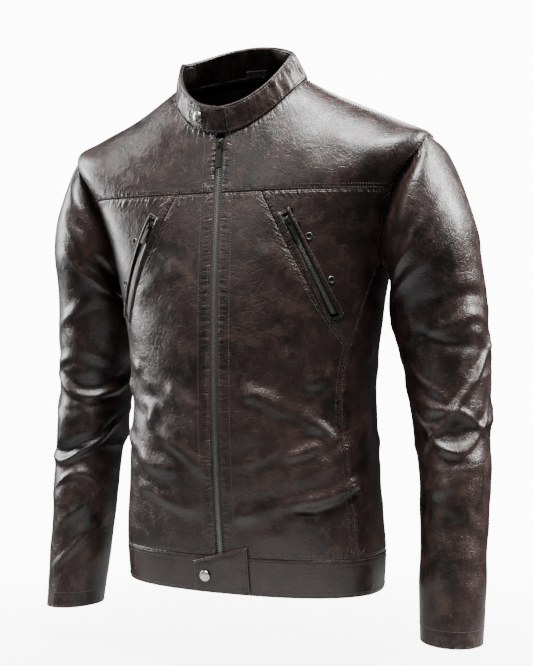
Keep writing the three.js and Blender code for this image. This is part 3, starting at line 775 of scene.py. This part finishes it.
def metal(name, color, worn, roughness, wear=0.5):
    """Plated metal with rubbed edges and slight tarnish."""
    n = Nodes(name)
    where = n.add("ShaderNodeTexCoord").outputs["Object"]
    stains = n.noise(where, 160.0, 4.0, 0.6)
    edge = n.add("ShaderNodeNewGeometry").outputs["Pointiness"]
    rubbed = n.times(n.step(edge, 0.5, 0.6), wear)
    stained = (color[0] * 0.5, color[1] * 0.5, color[2] * 0.5, 1)
    tone = n.mix(n.step(stains, 0.35, 0.7, 0.0, 0.5), color, stained)
    tone = n.mix(rubbed, tone, worn)
    n.set(Base_Color=tone, Roughness=n.step(stains, 0.3, 0.7, roughness, roughness + 0.14), Metallic=1.0)
    return n.material


def thread_material():
    n = Nodes("thread")
    rest = n.attribute("rest", True)
    twist = n.wave(rest, 1.4, "DIAGONAL", 0.4)
    tone = n.mix(twist, (0.012, 0.008, 0.0065, 1), (0.06, 0.04, 0.034, 1))
    n.set(Base_Color=tone, Roughness=0.55, Normal=n.bump(twist, 0.4, 0.0002), Sheen_Weight=0.2)
    return n.material


def floor_material():
    """A pale floor that thins out with distance, into the white round it."""
    n = Nodes("floor")
    where = n.add("ShaderNodeTexCoord").outputs["Object"]
    tone = n.mix(n.noise(where, 3.0, 3.0), (0.86, 0.86, 0.86, 1), (0.88, 0.88, 0.88, 1))
    far = n.add("ShaderNodeVectorMath", {0: where}, operation="LENGTH").outputs["Value"]
    n.set(Base_Color=tone, Roughness=0.8, Alpha=n.step(far, 0.15, 0.95, 0.45, 0.0))
    return n.material


CLOTH_DARK = (0.010, 0.0075, 0.007, 1)
CLOTH_LIGHT = (0.028, 0.021, 0.019, 1)
DARK = (0.0078, 0.0042, 0.0038, 1)
MID = (0.0265, 0.0142, 0.0124, 1)
RED = (0.056, 0.0265, 0.0205, 1)
hide = leather("hide", DARK, MID, RED)
hide_calm = leather("hide_calm", DARK, MID, RED, pucker=0.4, wear=0.5)
facing = leather("facing", (0.008, 0.006, 0.005, 1), (0.018, 0.012, 0.010, 1), (0.03, 0.019, 0.015, 1),
                 pucker=0.3, wear=0.3)
lining = woven("lining", CLOTH_DARK, CLOTH_LIGHT, 0.9)
tape = woven("tape", (0.017, 0.0145, 0.013, 1), (0.05, 0.043, 0.039, 1), 1.6, 0.1)
gunmetal = metal("gunmetal", (0.018, 0.017, 0.016, 1), (0.11, 0.10, 0.095, 1), 0.36, 0.25)
teeth_metal = metal("teeth", (0.13, 0.13, 0.115, 1), (0.32, 0.31, 0.28, 1), 0.36, 0.6)
satin = metal("satin_snap", (0.62, 0.60, 0.57, 1), (0.85, 0.84, 0.82, 1), 0.2, 0.6)
pocketing = woven("pocketing", CLOTH_DARK, CLOTH_LIGHT, 0.9, carried=True)
thread = thread_material()
# painted shade: a near-black cloth for the disc that stands for the dark inside of each eyelet's hole
painted_hole_shade = woven("painted_hole_shade", (0.001, 0.001, 0.001, 1), (0.003, 0.003, 0.003, 1), 1.0, 0.0)

# ---------------- body panels
STEP = SEAM / 700  # half the gap between two sewn panels, in rings


def turn(v):
    """The same half gap as an angle round the body."""
    return SEAM / knots(RINGS[:, 0], RINGS[:, 1], v)


def zip_edge(v):
    return angle_at_x(v, ZIP_EDGE)


def slant(v):
    z = body(np.full(np.shape(v), -0.9), v)[..., 2]
    return angle_at_x(v, SLANT_X + (YOKE_FRONT - z) * SLANT_SLOPE)


def princess(v):
    at = [0, 0.08, 0.17, 0.27, 0.33, 0.39, 0.49, PANEL_EDGE]
    return knots(at, np.radians([-25, -25, -26, -28, -28.5, -27, -17, -7.6]), np.clip(v, 0, PANEL_EDGE))


def back_seam(v):
    return knots([0, 0.3, PANEL_EDGE], np.radians([24, 22, 10.8]), np.clip(v, 0, PANEL_EDGE))


def arm_front(v):
    return -ARM_FRONT * arm_width(v)


def arm_back(v):
    return ARM_BACK * arm_width(v)


def side_front(v):
    return np.where(v < PANEL_EDGE, princess(v), arm_front(v))


def side_back(v):
    return np.where(v < PANEL_EDGE, back_seam(v), arm_back(v))


def band_side(v):
    return math.radians(8) + 0 * v


def band_top(u):
    return ring_at_z(u, BAND)


def front_yoke_seam(u):
    return ring_at_z(u, YOKE_FRONT)


def back_yoke_seam(u):
    return ring_at_z(u, YOKE_BACK)


def arm_floor(u):
    wide = np.where(u < 0, ARM_FRONT, ARM_BACK)
    return np.minimum(PANEL_EDGE, ARM_MIDDLE - ARM_REACH * np.sqrt(np.maximum(0, 1 - (u / wide) ** 2)))


def corner_ring():
    """The ring where the slanted seam meets the princess seam."""
    v = np.linspace(0.36, 0.46, 400)
    return float(v[np.argmax(slant(v) < princess(v))])


def shifted(f, steps):
    """A seam across the body, moved up by its half gap or down."""
    return lambda u: f(u) + steps * STEP


def beside(f, way):
    """An upright seam, moved round by its half gap."""
    return lambda v: f(v) + way * turn(v)


def level(v):
    return lambda u: v + 0 * u


def body_panel(name, node, uv, material=hide, mirror=False, lift=0.0, thickness=HIDE, relief=1.0, **more):
    """A panel of the body that stands for one node of the part."""
    u, v = uv
    p = body(u, v)
    n = normals(body, u, v)
    middle = (p.shape[0] // 2, p.shape[1] // 2)
    if (n[middle] * (p[middle] - (0, -5, p[0, 0, 2])))[:2].sum() < 0:
        n = -n
    outer = p + n * (relief * body_relief(p) + lift)[..., None]
    piece = sheet_solid(name, outer, n, material, thickness, flip=mirror, **more)
    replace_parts(piece, node)
    return piece


CORNER = corner_ring()


def front_outer(v):
    return np.where(v < CORNER, princess(v), np.minimum(slant(v), side_front(v))) - turn(v)


def pocket_line(side):
    """Three points of a pocket's zip on the body, from its top to its bottom."""
    out = []
    for k in (0, 0.5, 1):
        x = lerp(POCKET_TOP[0], POCKET_BOTTOM[0], k) + (POCKET_BOW if k == 0.5 else 0)
        u, v = front_at(x, lerp(POCKET_TOP[1], POCKET_BOTTOM[1], k))
        out.append(body(u, v) * (side, 1, 1))
    return out


class Zip:
    """A zip's arc: at(s, x, d) is s along it from its middle, x to the side and d out of the hide's face."""

    def __init__(self, centre, r, out, along):
        self.centre = np.asarray(centre, float)
        self.r = r
        self.n = np.asarray(out, float) / np.linalg.norm(out)
        t = np.asarray(along, float) - self.n * np.dot(along, self.n)
        self.t = t / np.linalg.norm(t)
        self.side = np.cross(self.t, self.n)

    def at(self, s, x, d):
        s, x, d = np.broadcast_arrays(*(np.asarray(k, float) for k in (s, x, d)))
        a = (s / self.r)[..., None]
        reach = (self.r + d)[..., None]
        turned = self.n * np.cos(a) + self.t * np.sin(a)
        return self.centre + turned * reach + self.side * x[..., None]

    def frame(self, s):
        a = s / self.r
        out = self.n * math.cos(a) + self.t * math.sin(a)
        return self.side, self.t * math.cos(a) - self.n * math.sin(a), out


def zip_through(top, middle, bottom):
    a = top - bottom
    b = middle - bottom
    n = np.cross(a, b)
    to_centre = (np.cross(b, n) * (a @ a) + np.cross(n, a) * (b @ b)) / (2 * n @ n)
    centre = bottom + to_centre
    return Zip(centre, np.linalg.norm(middle - centre), middle - centre, a)


main_zip = Zip((0, ARC_Y + ARC_R, ARC_Z), ARC_R, (0, -1, 0), (0, 0, 1))
pockets = {}
for label, side in SIDES:
    line = pocket_line(side)
    pockets[label] = (zip_through(*line), np.linalg.norm(line[0] - line[2]) / 2)


def outside_pocket(label):
    run, half = pockets[label]

    def keep(points):
        rel = points - run.at(0.0, 0.0, 0.0)
        s = rel @ run.t
        x = rel @ run.side
        return ~((np.abs(s) < half + 1.5) & (np.abs(x) < POCKET_HALF + 1.2))
    return keep


BAND_ROWS = (("B", 2.0), ("B", 7.5), ("b", 5.0))

for label, side in SIDES:
    mirror = side < 0
    front = patch(zip_edge, front_outer, shifted(band_top, 1), shifted(front_yoke_seam, -1), 155, 446, mirror)
    body_panel(f"{label}_front", f"{label}_front_panel", front, mirror=mirror,
               rows=(("a", 2.4), ("a", 15.0), ("A", 2.4), ("A", 8.0)))
    outer = patch(beside(slant, 1), beside(side_front, -1), level(CORNER), shifted(front_yoke_seam, -1),
                  125, 185, mirror)
    body_panel(f"{label}_front_outer", f"{label}_front_outer_panel", outer, mirror=mirror,
               keep=outside_pocket(label), rows=(("A", 2.4),))
    flank = patch(beside(princess, 1), beside(back_seam, -1), shifted(band_top, 1), shifted(arm_floor, -1),
                  125, 370, mirror)
    body_panel(f"{label}_side", f"{label}_side_panel", flank, mirror=mirror, rows=(("B", 2.4),))
    yoke = patch(zip_edge, beside(arm_front, -1), shifted(front_yoke_seam, 1), level(1), 240, 150, mirror)
    body_panel(f"{label}_yoke", f"{label}_front_yoke", yoke, mirror=mirror,
               rows=(("b", 2.0), ("b", 7.0), ("a", 2.4), ("a", 15.0), ("A", 2.4), ("A", 8.0)))
    band = patch(zip_edge, beside(band_side, -1), level(0), shifted(band_top, -1), 220, 48, mirror)
    body_panel(f"{label}_band", f"{label}_hem_band", band, material=hide_calm, mirror=mirror,
               thickness=BAND_HIDE, rows=BAND_ROWS)


def back_patch(edge, bottom, top, size_a, size_b):
    return patch(edge, lambda v: np.pi - edge(v), bottom, top, size_a, size_b)


back = back_patch(beside(side_back, 1), shifted(band_top, 1), shifted(back_yoke_seam, -1), 480, 482)
body_panel("back", "back_panel", back, rows=(("a", 2.4), ("A", 2.4)))
yoke = back_patch(beside(arm_back, 1), shifted(back_yoke_seam, 1), level(1), 520, 170)
body_panel("back_yoke_piece", "back_yoke", yoke,
           rows=(("b", 2.0), ("b", 7.0), ("a", 2.4), ("A", 2.4), ("B", 3.0)))
band = back_patch(beside(band_side, 1), level(0), shifted(band_top, -1), 460, 48)
body_panel("back_band", "back_hem_band", band, material=hide_calm, thickness=BAND_HIDE, rows=BAND_ROWS)

# ---------------- collar and tabs
TAB_START = math.radians(-83.5)
TAB_END = math.radians(-121)
TAB_LIFT = 2.6
LAP_START = math.radians(-50)
SNAP_AT = (math.radians(-110), 0.52)


def collar_ripple(u, k):
    """The collar's puckers: upright, and strongest over its middle."""
    tall = np.stack([np.degrees(u) / 5.2, k * 0.9, 0 * u], -1)
    small = np.stack([np.degrees(u) / 2.4, k * 1.6, 0 * u], -1)
    middle = np.sin(np.pi * np.clip(k, 0, 1)) ** 0.6
    return middle * (2.1 * noise(tall, 61) + 0.8 * noise(small, 62))


def lap(u):
    """How far the collar's overlapping end stands out at u, more and more towards the tab."""
    return TAB_LIFT * np.clip((u - LAP_START) / (TAB_START - LAP_START), 0, 1) ** 1.5


def collar_strip(name, d, material, start, end, seams, laps=False, crown=0.0):
    a = np.linspace(start, end, max(24, int(abs(end - start) * 82 / 2.2)))[None, :]
    u, k = np.broadcast_arrays(a, shares(34)[:, None])
    p = collar(u, k)
    n = normals(collar, u, np.clip(k, 0.02, 0.98))
    raised = lap(u) if laps else 0.0
    outer = p + n * (d + raised + collar_ripple(u, k) + crown * np.sin(np.pi * k))[..., None]
    return sheet_solid(name, outer, n, material, COLLAR_HIDE, rows=seams, square="a" if laps else "")


def collar_edge(start, end):
    """The rolled edge over the top of the collar's two layers."""
    rim = np.linspace(start, end, 240)
    low = collar(rim, 0 * rim + 0.985)
    out = normals(collar, rim, 0 * rim + 0.97)
    turned = np.linspace(0, math.pi, 9)[:, None, None]
    middle = low + out * (-1.6 + lap(rim) * 0.5)[:, None]
    half = (2.0 + lap(rim) * 0.5)[:, None]
    roll = middle + out * half * np.cos(turned) + np.array((0, 0, 2.2)) * np.sin(turned)
    roll_out = out * np.cos(turned) + np.array((0, 0, 1.0)) * np.sin(turned)
    sheet_solid("collar_edge", roll, roll_out, hide_calm, 0.8, round_edge=0.0, edges="")


collar_from = float(zip_edge(np.array(1.0)))
collar_to = math.pi - collar_from
lap_from = TAB_START + 0.006
piece = collar_strip("collar_shell", 0.3, hide_calm, lap_from, collar_to, (("b", 2.6), ("B", 2.6)), True, 0.6)
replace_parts(piece, "collar_outer")
piece = collar_strip("collar_inner", -2.4, facing, collar_from, collar_to, (("b", 3.0),))
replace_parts(piece, "collar_facing")
collar_edge(lap_from, collar_to)


def tab_grid(at, size_a, size_b, lift, crown):
    """A snapped tab: at(a, b) gives its place and normal, a from the sewn end to the free end."""
    a, b = np.broadcast_arrays(shares(size_a)[None, :], shares(size_b)[:, None])
    p, n = at(a, b)
    edge = np.minimum(np.minimum(b, 1 - b) * size_b, (1 - a) * size_a)
    dome = crown * (1 - np.exp(-((edge / 5.0) ** 2)))
    soft = 0.35 * noise(p / 9, 71) + 0.3 * noise(p / 22, 72)
    return p + n * (lift + dome + soft * (edge > 0))[..., None], n


def collar_tab_at(a, b):
    u = lerp(TAB_START - 0.004, TAB_END, a)
    corner = np.clip((a - 0.86) / 0.14, 0, 1)
    k = lerp(0.3 * corner, 1.035 - 0.25 * corner, b)
    return collar(u, k), normals(collar, u, np.clip(k, 0.02, 0.98))


outer, n = tab_grid(collar_tab_at, 54, 35, TAB_LIFT + 0.3, 0.5)
piece = sheet_solid("collar_tab_piece", outer, n, hide_calm, TAB_HIDE, edges="AbB", body_name="collar_tab",
                    flip=True, square="a", rows=(("A", 3.0), ("b", 2.6), ("B", 2.6)))
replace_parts(piece, "collar_tab")


def forward(u, v):
    """The body's normals, facing the front."""
    n = normals(body, u, v)
    return np.where(n[..., 1:2] > 0, -n, n)


def hem_tab_at(a, b):
    u, v = front_at(lerp(37.0, -38.0, a), lerp(1.0, lerp(62.0, 40.0, a), b))
    return body(u, v), forward(u, v)


outer, n = tab_grid(hem_tab_at, 80, 46, 2.4, 0.9)
piece = sheet_solid("hem_tab_piece", outer, n, hide_calm, TAB_HIDE, body_name="hem_tab", flip=True,
                    rows=(("A", 3.0), ("b", 3.0), ("B", 3.0), ("a", 3.0)))
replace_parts(piece, "hem_tab")

CAP = ((0.01, 2.2), (3.6, 2.15), (5.0, 1.95), (5.35, 1.55), (5.9, 1.75), (6.6, 1.6), (7.0, 0.9), (7.0, -0.4))
u, k = (np.array(value) for value in SNAP_AT)
spot = collar(u, k)
way = normals(collar, u, k)
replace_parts(lathe("collar_cap", spot + way * 4.7, way, CAP, satin, "collar_tab"), "collar_snap_cap")
u, v = front_at(-21.0, 23.0)
spot = body(u, v)
way = forward(u, v)
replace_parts(lathe("hem_cap", spot + way * 4.6, way, CAP, satin, "hem_tab"), "hem_snap_cap")

# ---------------- sleeves
def sleeve_surface(label, side, d, columns, spacing, s0):
    """The whole sleeve as one grid, with the normals of its creased surface."""
    t = (np.arange(columns) * 2 * np.pi / columns)[None, :]
    s = np.linspace(s0, 1.0, int(640 / spacing))[:, None]
    t, s = np.broadcast_arrays(t, s)
    p = sleeve(t, s)
    n = -normals(sleeve, t, s)
    outer = p + n * (d + sleeve_relief(p, t, s, label))[..., None]
    around = np.roll(outer, -1, 1) - np.roll(outer, 1, 1)
    down = np.gradient(outer, axis=0)
    bent = np.cross(down, around)
    bent /= np.maximum(np.linalg.norm(bent, axis=-1, keepdims=True), 1e-9)
    bent = np.where((bent * n).sum(-1, keepdims=True) < 0, -bent, bent)
    mirror = np.array((side, 1, 1))
    return outer * mirror, n * mirror, bent * mirror, s[:, 0]


def sleeve_pair(label, side, names, material, d, thickness, columns, spacing, s0, **more):
    outer, n, bent, s = sleeve_surface(label, side, d, columns, spacing, s0)
    cut = int(np.searchsorted(s, SLEEVE_SPLIT))
    made = []
    for name, part, edges in ((names[0], slice(0, cut + 1), "b"), (names[1], slice(cut, None), "B")):
        made.append(sheet_solid(name, outer[part], n[part], material, thickness, wrap=True, edges=edges,
                                round_edge=0.0, body_name=None, flip=side > 0, custom=bent[part],
                                sides_closed=d < 0, **(more if edges == "B" else {})))
    return made


for label, side in SIDES:
    names = (f"{label}_sleeve_top", f"{label}_sleeve_bottom")
    upper, lower = sleeve_pair(label, side, names, hide, 0.0, HIDE, 150, 2.8, 0.0,
                               rows=(("B", CUFF_STITCH),), thread_group=f"{label}_cuff")
    names = (f"{label}_lining_top", f"{label}_lining_bottom")
    top_lining, low_lining = sleeve_pair(label, side, names, lining, SLEEVE_LINING, CLOTH, 72, 7.0, 0.04)
    cuff = thread_piece(f"{label}_cuff_stitches", threads[f"{label}_cuff"])
    mirror = np.array((side, 1, 1))
    for piece in (upper, top_lining):
        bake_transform(piece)
    for piece in (lower, low_lining, cuff):
        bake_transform(piece)
    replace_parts(upper, f"{label}_upper_sleeve")
    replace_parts(lower, f"{label}_lower_sleeve")
    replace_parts(top_lining, f"{label}_upper_sleeve_lining")
    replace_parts(low_lining, f"{label}_lower_sleeve_lining")


def body_lining(name, node, uv, mirror=False):
    return body_panel(name, node, uv, lining, mirror, lift=BODY_LINING, thickness=CLOTH, relief=0.5)


def hanger():
    """The loop inside the back of the collar, bowed off it at its middle."""
    a = np.linspace(math.radians(80), math.radians(100), 12)[None, :]
    k = np.linspace(0.06, 0.3, 6)[:, None]
    u, k = np.broadcast_arrays(a, k)
    n = normals(collar, u, k)
    off = -5.5 - 2.0 * np.sin((u - u.min()) / (u.max() - u.min()) * np.pi)
    return sheet_solid("hanger", collar(u, k) + n * off[..., None], n, tape, CLOTH)


for label, side in SIDES:
    inside = patch(lambda v: angle_at_x(v, 20), beside(arm_front, -1), level(0.03), level(0.985),
                   80, 200, side < 0)
    body_lining(f"{label}_lining", f"{label}_body_lining", inside, side < 0)
inside = back_patch(beside(arm_back, 1), level(0.03), level(0.985), 160, 200)
body_lining("back_lining", "back_body_lining", inside)
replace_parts(hanger(), "hanger_loop")

# ---------------- zips
def zip_strip(name, run, s0, s1, x0, x1, d, step=2.5):
    s = np.linspace(s0, s1, int((s1 - s0) / 4) + 2)[:, None]
    x = np.linspace(x0, x1, max(3, int(abs(x1 - x0) / step) + 1))[None, :]
    s, x = np.broadcast_arrays(s, x)
    points = run.at(s, x, d)
    out = run.at(s, x, d + 1.0) - points
    return sheet_solid(name, points, out, tape, 0.6, round_edge=0.0, edges="", flip=x1 < x0)


def zip_teeth(name, run, s0, s1, x, pitch, size, shift=0.0, d=-1.7):
    frames = []
    for s in np.arange(s0 + shift, s1, pitch):
        side, along, out = run.frame(s)
        frames.append((run.at(s, x, d), side, along, out))
    return boxes(name, frames, size, teeth_metal, "jacket_body")


def welt(label, side, run, half):
    """A raised frame of hide round a pocket's zip, following the front."""
    s = lerp(-half - 4, half + 4, shares(2 * half + 8))[:, None]
    x = np.linspace(-POCKET_HALF - 3.8, POCKET_HALF + 3.8, 25)[None, :]
    s, x = np.broadcast_arrays(s, x)
    flat = run.at(s, x, 0.0)
    u, v = front_at(np.abs(flat[..., 0]), flat[..., 2])
    p = body(u, v) * (side, 1, 1)
    n = forward(u, v) * (side, 1, 1)
    lift = 0.9 + 1.1 * np.exp(-(((np.abs(x) - 7.2) / 2.0) ** 2)) - 0.5 * (np.abs(x) > 9)
    p = p + n * (lift + body_relief(p * (side, 1, 1)) * 0.7)[..., None]
    alive = ~((np.abs(x) < POCKET_HALF - 1.2) & (np.abs(s) < half - 0.5))
    return sheet_solid(f"{label}_welt", p, n, hide_calm, 1.0, keep=lambda points: alive,
                       rows=(("a", 1.6), ("A", 1.6)))


def eyelet(label, side, i, x, z):
    u, v = front_at(x, z)
    way = forward(u, v) * (side, 1, 1)
    raw = body(u, v)
    spot = raw * (side, 1, 1) + way * float(body_relief(raw))
    ring = lathe(f"{label}_eyelet_ring_{i}", spot, way, EYELET, teeth_metal, "jacket_body")
    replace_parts(ring, f"{label}_eyelet_{i}")
    # a near-black disc inside the ring, on the uncut leather: painted shade for the eyelet's open hole
    lathe(f"{label}_eyelet_painted_shade_{i}", spot, way, ((0.01, 0.2), (1.8, 0.2), (3.3, 0.3)), painted_hole_shade, "jacket_body")


EYELET = ((3.1, 0.1), (3.15, 0.9), (3.5, 1.2), (3.9, 1.15), (4.4, 0.6), (4.5, -0.2))
MAIN_LOW = ARC_R * math.asin((10 - ARC_Z) / ARC_R) + 14
MAIN_TOP = ARC_R * math.asin((566 - ARC_Z) / ARC_R)
MAIN_TOOTH = (3.9, 1.5, 2.1)
MAIN_PITCH = 2.9
POCKET_TOOTH = (3.1, 1.5, 1.8)
POCKET_PITCH = 2.6
for label, side in SIDES:
    strip = zip_strip(f"zip_tape_{label}", main_zip, MAIN_LOW, MAIN_TOP, side * 3.0, side * 14.0, -1.9)
    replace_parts(strip, f"main_zip_tape_{label}")
    row = zip_teeth(f"zip_teeth_{label}", main_zip, MAIN_LOW, MAIN_TOP - 2, side * 1.35, MAIN_PITCH, MAIN_TOOTH,
                    0.0 if side > 0 else MAIN_PITCH / 2)
    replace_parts(row, f"main_zip_teeth_{label}")
for label, side in SIDES:
    run, half = pockets[label]
    for end, way in (("a", 1), ("b", -1)):
        strip = zip_strip(f"{label}_pocket_tape_{end}", run, 0.5 - half, half - 0.5,
                          way * 2.2, way * 5.8, -1.4, 1.2)
        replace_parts(strip, f"{label}_pocket_zip_tape")
    for end, way, shift in (("a", 1, 0.0), ("b", -1, POCKET_PITCH / 2)):
        row = zip_teeth(f"{label}_pocket_teeth_{end}", run, 4 - half, half - 5, way * 1.1, POCKET_PITCH,
                        POCKET_TOOTH, shift, -1.0)
        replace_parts(row, f"{label}_pocket_zip_teeth")
    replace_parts(welt(label, side, run, half), f"{label}_pocket_welt")
    for i, (x, z) in enumerate(EYELETS):
        eyelet(label, side, i + 1, x, z)

# ---------------- stitches
for group in ("jacket_body", "collar_tab", "hem_tab"):
    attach(thread_piece(f"stitches_{group}", threads[group]), group)

# ---------------- camera, light, floor
def floor():
    bpy.ops.mesh.primitive_plane_add(size=2.4, location=(0, 0, FLOOR))
    plane = bpy.context.object
    plane.name = "floor"
    plane.data.materials.append(floor_material())


def surroundings():
    """A world that is white to the camera, and dim as a light."""
    world = bpy.context.scene.world or bpy.data.worlds.new("world")
    bpy.context.scene.world = world
    world.use_nodes = True
    nodes = world.node_tree.nodes
    links = world.node_tree.links
    dim = nodes["Background"]
    seen = nodes.new("ShaderNodeBackground")
    for node, color, strength in ((dim, (0.95, 0.97, 1.0, 1), 0.07), (seen, (1, 1, 1, 1), 12.0)):
        node.inputs[0].default_value = color
        node.inputs[1].default_value = strength
    rays = nodes.new("ShaderNodeLightPath")
    either = nodes.new("ShaderNodeMixShader")
    links.new(rays.outputs["Is Camera Ray"], either.inputs[0])
    links.new(dim.outputs[0], either.inputs[1])
    links.new(seen.outputs[0], either.inputs[2])
    links.new(either.outputs[0], nodes["World Output"].inputs[0])


LAMPS = (  # name, place and size in metres, power; each faces the jacket
    ("key", (1.9, 0.75, 0.95), (0.45, 1.3), 140),
    ("top", (0.9, -0.75, 1.8), (0.9, 0.8), 45),
    ("over", (0.25, -0.65, 1.8), (1.0, 0.5), 105),
    ("front", (-0.9, -2.3, 1.0), (0.7, 1.2), 12),
    ("left", (-2.0, 0.0, 0.45), (0.5, 1.6), 75),
    ("back", (-0.6, 2.1, 1.0), (1.4, 1.2), 40),
)


def lamp(name, where, size, power):
    data = bpy.data.lights.new(name, "AREA")
    data.shape = "RECTANGLE"
    data.size, data.size_y = size
    data.energy = power
    light = bpy.data.objects.new(name, data)
    light.location = where
    light.rotation_euler = Vector(-np.array(where)).to_track_quat("-Z", "Y").to_euler()
    bpy.context.scene.collection.objects.link(light)


def camera():
    data = bpy.data.cameras.new("camera")
    data.sensor_fit = "VERTICAL"
    data.sensor_height = 36.0
    data.lens = LENS
    data.shift_x, data.shift_y = LENS_SHIFT
    cam = bpy.data.objects.new("camera", data)
    a = math.radians(CAMERA_TURN)
    cam.location = place((CAMERA_AWAY * math.sin(a), -CAMERA_AWAY * math.cos(a), CAMERA_HEIGHT))
    cam.rotation_euler = (math.radians(90), 0, a)
    bpy.context.scene.collection.objects.link(cam)
    bpy.context.scene.camera = cam


floor()
surroundings()
for settings in LAMPS:
    lamp(*settings)
camera()

# ---------------- carried-over nodes: metal and pocket bags
for name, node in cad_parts.items():
    if name.endswith(("slider", "pull", "zip_box")):
        look, width = gunmetal, 0.35
    elif "teeth" in name or "eyelet" in name:
        look, width = teeth_metal, 0.2
    elif "snap" in name:
        look, width = satin, 0.5
    elif "bag" in name:
        look, width = pocketing, 0.0
    else:
        continue
    node.data.materials.clear()
    node.data.materials.append(look)
    if width:
        soften(node, width)
